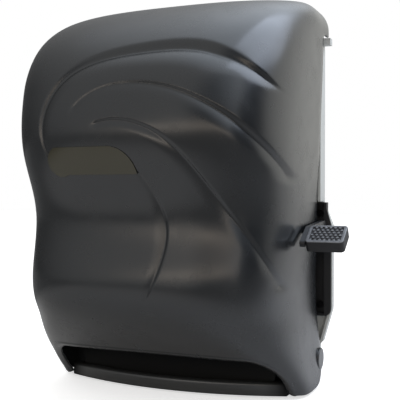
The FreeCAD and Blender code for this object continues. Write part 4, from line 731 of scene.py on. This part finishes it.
# ------------------------------------------------------------------ pieces
class DISPENSER_OT_cover(bpy.types.Operator):
    """Build the drop-down cover, with its relief lines, mouth lip, lock recess and hinge ears"""

    bl_idname = "dispenser.cover"
    bl_label = "Cover"

    def execute(self, context):
        colour = context.scene.dispenser_colours.cover
        # Smoke-black ABS from a polished mould: a deep, even gloss with faint flow clouding.
        finish = moulded("Smoke black ABS, polished moulding", colour, darker(colour, 0.9),
                         rough=0.25, grain=0.9, depth=0.004, edge=0.4)
        # Its inner face comes from the grained core of the mould: matt, with its colour darkened well below
        # the cover's as painted shade, deep black.
        inside = moulded("Smoke black ABS, inner face in painted shade", darker(colour, 0.4), darker(colour, 0.3),
                         rough=0.7, grain=0.9, depth=0.02, edge=0.4, specular=0.1)
        skin, flat_skin, faces, inner = cover_skin()
        wall = context.scene.dispenser_sizes.cover_wall * 1000
        back = skin - skin_normals(flat_skin, faces) * wall
        points, walls = shell(skin, faces, back, inner)
        points = points.tolist()
        for side in (-1, 1):
            ear_points, ear_faces = ear(side)
            walls += [[len(points) + vertex for vertex in face] for face in ear_faces]
            points += ear_points
        cover = make_piece("cover_moulding", np.array(points), walls, finish)
        cover.data.materials.append(inside)
        for face in cover.data.polygons[len(faces):2 * len(faces)]:
            face.material_index = 1
        thin_out(cover, range(len(skin), 2 * len(skin)), 0.12)
        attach(cover, "cover")
        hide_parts("cover")
        return {"FINISHED"}


class DISPENSER_OT_badge(bpy.types.Operator):
    """Finish the bare badge place on the cover"""

    bl_idname = "dispenser.badge"
    bl_label = "Badge place"

    def execute(self, context):
        colour = context.scene.dispenser_colours.badge
        # Olive-black PMMA with a polished face: darker and glossier than the cover round it.
        coat(["badge_plate"], moulded("Olive black PMMA, polished moulding", colour, darker(colour, 0.85),
                                      rough=0.16, grain=0.9, depth=0.003, edge=0.3))
        return {"FINISHED"}


class DISPENSER_OT_back_plate(bpy.types.Operator):
    """Finish the light grey back plate behind the cover"""

    bl_idname = "dispenser.back_plate"
    bl_label = "Back plate"

    def execute(self, context):
        colour = context.scene.dispenser_colours.back
        # Light grey ABS from a fine-grained mould: a satin surface that scatters highlights.
        coat(["back_plate"], moulded("Light grey ABS, satin moulding", colour, darker(colour, 0.94),
                                     rough=0.42, grain=0.8, depth=0.02, edge=0.5))
        return {"FINISHED"}


class DISPENSER_OT_chassis(bpy.types.Operator):
    """Finish the side frames, brackets and paper chute"""

    bl_idname = "dispenser.chassis"
    bl_label = "Chassis"

    def execute(self, context):
        colour = context.scene.dispenser_colours.chassis
        # Charcoal glass-filled polypropylene: satin, with a coarser spark-eroded grain.
        coat(["side_frame_left", "side_frame_right", "arm_bracket_left", "arm_bracket_right",
              "lock_catch"],
             moulded("Charcoal polypropylene, satin moulding", colour, darker(colour, 0.85),
                     rough=0.48, grain=0.9, depth=0.03, edge=0.5))
        chute = context.scene.dispenser_colours.chute
        # Black ABS from a mould polished only at the ledge: the ledge shines softly, and painted shade
        # darkens the chute's colour to black.
        coat(["chute_pan", "front_guide"],
             chute_plastic_painted_shade("Black ABS, ledge polished, chute in painted shade", chute, darker(chute, 0.85),
                           ledge_deep=108, chute_deep=101))
        return {"FINISHED"}


class DISPENSER_OT_lever(bpy.types.Operator):
    """Finish the lever housing, the lever arm and its studded rubber pad"""

    bl_idname = "dispenser.lever"
    bl_label = "Lever"

    def execute(self, context):
        colours = context.scene.dispenser_colours
        # Black polypropylene, lightly grained: it swallows most light in the lever's slot.
        coat(["lever_housing"], moulded("Black polypropylene, grained moulding", colours.housing,
                                        darker(colours.housing, 0.8),
                                        rough=0.5, grain=0.9, depth=0.02, edge=0.25))
        # Black glass-filled nylon: satin, rubbed a little smoother where hands reach it.
        coat(["lever_arm"], moulded("Black nylon, satin moulding", colours.lever,
                                    darker(colours.lever, 0.8),
                                    rough=0.38, grain=0.8, depth=0.02, edge=0.5))
        # Black nitrile rubber, compression moulded: matt, with smoother stud tops greyed by a painted
        # highlight.
        sizes = context.scene.dispenser_sizes
        up = Vector((0, -math.sin(sizes.pad_tilt), math.cos(sizes.pad_tilt)))
        level = max(vertex.co.dot(up) for vertex in NODES["lever_pad"].data.vertices)
        coat(["lever_pad"], studded_rubber_painted_tops("Black nitrile rubber, studs with painted highlight", colours.pad,
                                           colours.pad_painted_highlight, up, level, sizes.stud_tall))
        return {"FINISHED"}


class DISPENSER_OT_drive(bpy.types.Operator):
    """Finish the gears, bushes, rollers and rubber sleeves of the feed drive"""

    bl_idname = "dispenser.drive"
    bl_label = "Feed drive"

    def execute(self, context):
        colours = context.scene.dispenser_colours
        # Natural acetal: waxy ivory white with a smooth low gloss.
        coat(["lever_sector", "drive_pinion", "lever_bush", "feed_bushes", "pinch_bushes"],
             moulded("Natural acetal, moulded", colours.gears, darker(colours.gears, 0.93),
                     rough=0.36, grain=1.2, depth=0.006, edge=0.3))
        # Dark grey polystyrene: smooth satin cores, hubs and arms.
        coat(["feed_core", "feed_knob", "roll_arm_left", "roll_arm_right", "roll_hub_left",
              "roll_hub_right"],
             moulded("Dark grey polystyrene, satin moulding", colours.rollers,
                     darker(colours.rollers, 0.88),
                     rough=0.4, grain=0.8, depth=0.015, edge=0.4))
        # Grey EPDM sleeves, ground after moulding: matt with fine pores.
        coat(["feed_sleeves", "pinch_sleeves"],
             rubber("Grey EPDM rubber, ground", colours.sleeves, darker(colours.sleeves, 1.3),
                    rough=0.75, grain=0.7, depth=0.03))
        return {"FINISHED"}


class DISPENSER_OT_metalwork(bpy.types.Operator):
    """Finish the shafts, springs, screws, tear bar and lock"""

    bl_idname = "dispenser.metalwork"
    bl_label = "Metalwork"

    def execute(self, context):
        # Bright drawn steel rod: fine lines run along the shafts.
        coat(["lever_shaft", "feed_shaft", "pinch_shaft"],
             metal("Steel, bright drawn", linear("C9CACB"), linear("B4B5B7"),
                   rough=0.26, stretch=(0.02, 1, 1), depth=0.002))
        # Stainless strip, rolled and stamped: lines run along the blade.
        coat(["tear_bar"],
             metal("Stainless steel, rolled strip", linear("CDCECE"), linear("B9BBBC"),
                   rough=0.3, stretch=(0.03, 1, 1), depth=0.003))
        # Zinc plate over steel: bright, with a faint speckle.
        coat(["tear_screws", "guide_screws", "arm_pins", "hinge_pins"],
             metal("Steel, zinc plated", linear("C6C7C4"), linear("ADAEA9"),
                   rough=0.3, stretch=(1, 1, 1), depth=0.002))
        # Black oxide on steel: nearly black, with a low oily sheen.
        coat(["chassis_screws"],
             metal("Steel, black oxide", linear("29292B"), linear("1B1B1D"),
                   rough=0.42, stretch=(1, 1, 1), depth=0.002))
        # Oil-tempered spring wire and spring clips: darker, with lines along the wire.
        coat(["lever_return_spring", "arm_springs", "lever_clip", "feed_clip", "pinch_clips",
              "hub_clip_left", "hub_clip_right"],
             metal("Spring steel, oil tempered", linear("8F9094"), linear("77787C"),
                   rough=0.33, stretch=(1, 1, 1), depth=0.002))
        # Nickel-plated zinc die casting: a clean bright face with soft fine lines.
        coat(["lock_barrel", "lock_plug", "lock_cam"],
             metal("Zinc die casting, nickel plated", linear("D6D5D2"), linear("C2C1BD"),
                   rough=0.2, stretch=(1, 1, 0.1), depth=0.001))
        return {"FINISHED"}


class DISPENSER_OT_stage(bpy.types.Operator):
    """Set the floor, the soft lights, the white surroundings and the camera"""

    bl_idname = "dispenser.stage"
    bl_label = "Stage"

    def execute(self, context):
        scene = context.scene
        sizes = scene.dispenser_sizes
        reach = sizes.floor_reach * 1000
        finish, tree, at = new_material("Pale painted floor")
        grain = add(tree, "ShaderNodeTexNoise", {"Vector": at, "Scale": per(40), "Detail": 3.0})
        colour = scene.dispenser_colours.floor
        tint = add(tree, "ShaderNodeMix", {"Factor": grain.outputs["Fac"], "A": rgba(colour),
                                           "B": rgba(darker(colour, 0.99))}, data_type="RGBA")
        # Painted shade: glossy faces see the floor's colour darkened further off; to the camera it isn't
        # darkened.
        path = add(tree, "ShaderNodeLightPath", {})
        shade = 1.0
        for away, near, far, left in FLOOR_PAINTED_SHADE:
            along = add(tree, "ShaderNodeVectorMath", {0: at, 1: away}, operation="DOT_PRODUCT")
            fall = add(tree, "ShaderNodeMapRange", {"Value": along.outputs["Value"], "From Min": near,
                                                    "From Max": far, "To Min": 1.0, "To Max": left},
                       interpolation_type="SMOOTHSTEP")
            shade = add(tree, "ShaderNodeMath", {0: shade, 1: fall.outputs["Result"]},
                        operation="MULTIPLY").outputs[0]
        painted_floor_shade = add(tree, "ShaderNodeMix", {"Factor": path.outputs["Is Glossy Ray"], "A": 1.0, "B": shade},
                  data_type="FLOAT")
        tone = add(tree, "ShaderNodeMix", {"Factor": painted_floor_shade.outputs["Result"], "A": (0, 0, 0, 1),
                                           "B": tint.outputs["Result"]}, data_type="RGBA")
        paint = add(tree, "ShaderNodeBsdfPrincipled", {"Base Color": tone.outputs["Result"],
                                                       "Roughness": 0.9, "Specular IOR Level": 0.1})
        # What the camera sees of the floor is lifted to white, and keeps the shadow on it.
        lift = add(tree, "ShaderNodeMath", {0: path.outputs["Is Camera Ray"], 1: FLOOR_LIFT},
                   operation="MULTIPLY")
        glow = add(tree, "ShaderNodeEmission", {"Color": (1, 1, 1, 1), "Strength": lift.outputs[0]})
        close(tree, add(tree, "ShaderNodeAddShader", {0: paint.outputs[0], 1: glow.outputs[0]}))
        level = (CAD_BOX[0][2] - sizes.floor_gap) * 1000
        ticks = np.linspace(-reach, reach, FLOOR_TICKS)
        points = np.array([(x, y, level) for y in ticks for x in ticks])
        corners = [row * FLOOR_TICKS + column
                   for row in range(FLOOR_TICKS - 1) for column in range(FLOOR_TICKS - 1)]
        faces = [[corner, corner + FLOOR_TICKS, corner + FLOOR_TICKS + 1, corner + 1] for corner in corners]
        make_piece("floor", points, faces, finish)

        world = bpy.data.worlds.new("White studio")
        world.use_nodes = True
        scene.world = world
        tree = world.node_tree
        tree.nodes.clear()
        path = add(tree, "ShaderNodeLightPath", {})
        seen = add(tree, "ShaderNodeMath", {0: path.outputs["Is Camera Ray"],
                                            1: path.outputs["Is Transmission Ray"]}, operation="MAXIMUM")
        toward = add(tree, "ShaderNodeTexCoord", {}).outputs["Generated"]
        room = add(tree, "ShaderNodeRGB", {}).outputs[0]
        room.default_value = rgba(darker(linear(ROOM_TONE), ROOM_RADIANCE))
        for aim, stretch, start, full, radiance, tone in ROOM_ZONES.values():
            wide = add(tree, "ShaderNodeVectorMath", {0: toward, 1: stretch}, operation="MULTIPLY")
            unit = add(tree, "ShaderNodeVectorMath", {0: wide.outputs[0]}, operation="NORMALIZE")
            facing = add(tree, "ShaderNodeVectorMath", {0: unit.outputs[0], 1: Vector(aim).normalized()},
                         operation="DOT_PRODUCT")
            zone = add(tree, "ShaderNodeMapRange", {"Value": facing.outputs["Value"], "From Min": start,
                                                    "From Max": full}, interpolation_type="SMOOTHSTEP")
            room = add(tree, "ShaderNodeMix", {"Factor": zone.outputs["Result"], "A": room,
                                               "B": rgba(darker(linear(tone), radiance))},
                       data_type="RGBA").outputs["Result"]
        gloss = add(tree, "ShaderNodeMix", {"Factor": path.outputs["Is Glossy Ray"],
                                            "A": rgba([ROOM_LEVEL] * 3), "B": room}, data_type="RGBA")
        white = add(tree, "ShaderNodeMix", {"Factor": seen.outputs[0], "A": gloss.outputs["Result"],
                                            "B": (1, 1, 1, 1)}, data_type="RGBA")
        surround = add(tree, "ShaderNodeBackground", {"Color": white.outputs["Result"], "Strength": 1.0})
        add(tree, "ShaderNodeOutputWorld", {"Surface": surround.outputs[0]})

        for name, (place, aim, wide, tall, radiance, tone) in SOFTBOXES.items():
            lamp = bpy.data.lights.new(name, "AREA")
            lamp.shape = "RECTANGLE"
            lamp.size = wide
            lamp.size_y = tall
            lamp.energy = radiance * math.pi * wide * tall
            lamp.color = linear(tone)
            holder = bpy.data.objects.new(name, lamp)
            holder.location = place
            holder.visible_camera = False
            holder.rotation_euler = (Vector(aim) - Vector(place)).to_track_quat("-Z", "Y").to_euler()
            scene.collection.objects.link(holder)

        lens = bpy.data.cameras.new("camera")
        lens.lens = sizes.camera_lens
        lens.sensor_width = CAMERA_SENSOR
        eye = bpy.data.objects.new("camera", lens)
        eye.location = CAMERA_PLACE
        eye.rotation_euler = (Vector(CAMERA_AIM) - Vector(CAMERA_PLACE)).to_track_quat("-Z", "Y").to_euler()
        scene.collection.objects.link(eye)
        scene.camera = eye
        scene.view_settings.view_transform = "Standard"
        return {"FINISHED"}


PIECES = (DISPENSER_OT_cover, DISPENSER_OT_badge, DISPENSER_OT_back_plate, DISPENSER_OT_chassis,
          DISPENSER_OT_lever, DISPENSER_OT_drive, DISPENSER_OT_metalwork, DISPENSER_OT_stage)


class DISPENSER_PT_panel(bpy.types.Panel):
    """Lists the dispenser's pieces, sizes and colours"""

    bl_label = "Paper Towel Dispenser"
    bl_idname = "DISPENSER_PT_panel"
    bl_space_type = "VIEW_3D"
    bl_region_type = "UI"
    bl_category = "Dispenser"

    def draw(self, context):
        for group in (context.scene.dispenser_sizes, context.scene.dispenser_colours):
            box = self.layout.box()
            for name in group.__annotations__:
                box.prop(group, name)
        for piece in PIECES:
            self.layout.operator(piece.bl_idname)


CLASSES = (DispenserSizes, DispenserColours, *PIECES, DISPENSER_PT_panel)


def register():
    for item in CLASSES:
        bpy.utils.register_class(item)
    bpy.types.Scene.dispenser_sizes = PointerProperty(type=DispenserSizes)
    bpy.types.Scene.dispenser_colours = PointerProperty(type=DispenserColours)


def unregister():
    del bpy.types.Scene.dispenser_colours
    del bpy.types.Scene.dispenser_sizes
    for item in reversed(CLASSES):
        bpy.utils.unregister_class(item)


def main():
    """Registers the add-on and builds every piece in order."""
    register()
    for piece in PIECES:
        group, name = piece.bl_idname.split(".")
        getattr(getattr(bpy.ops, group), name)()


if __name__ == "__main__":
    main()
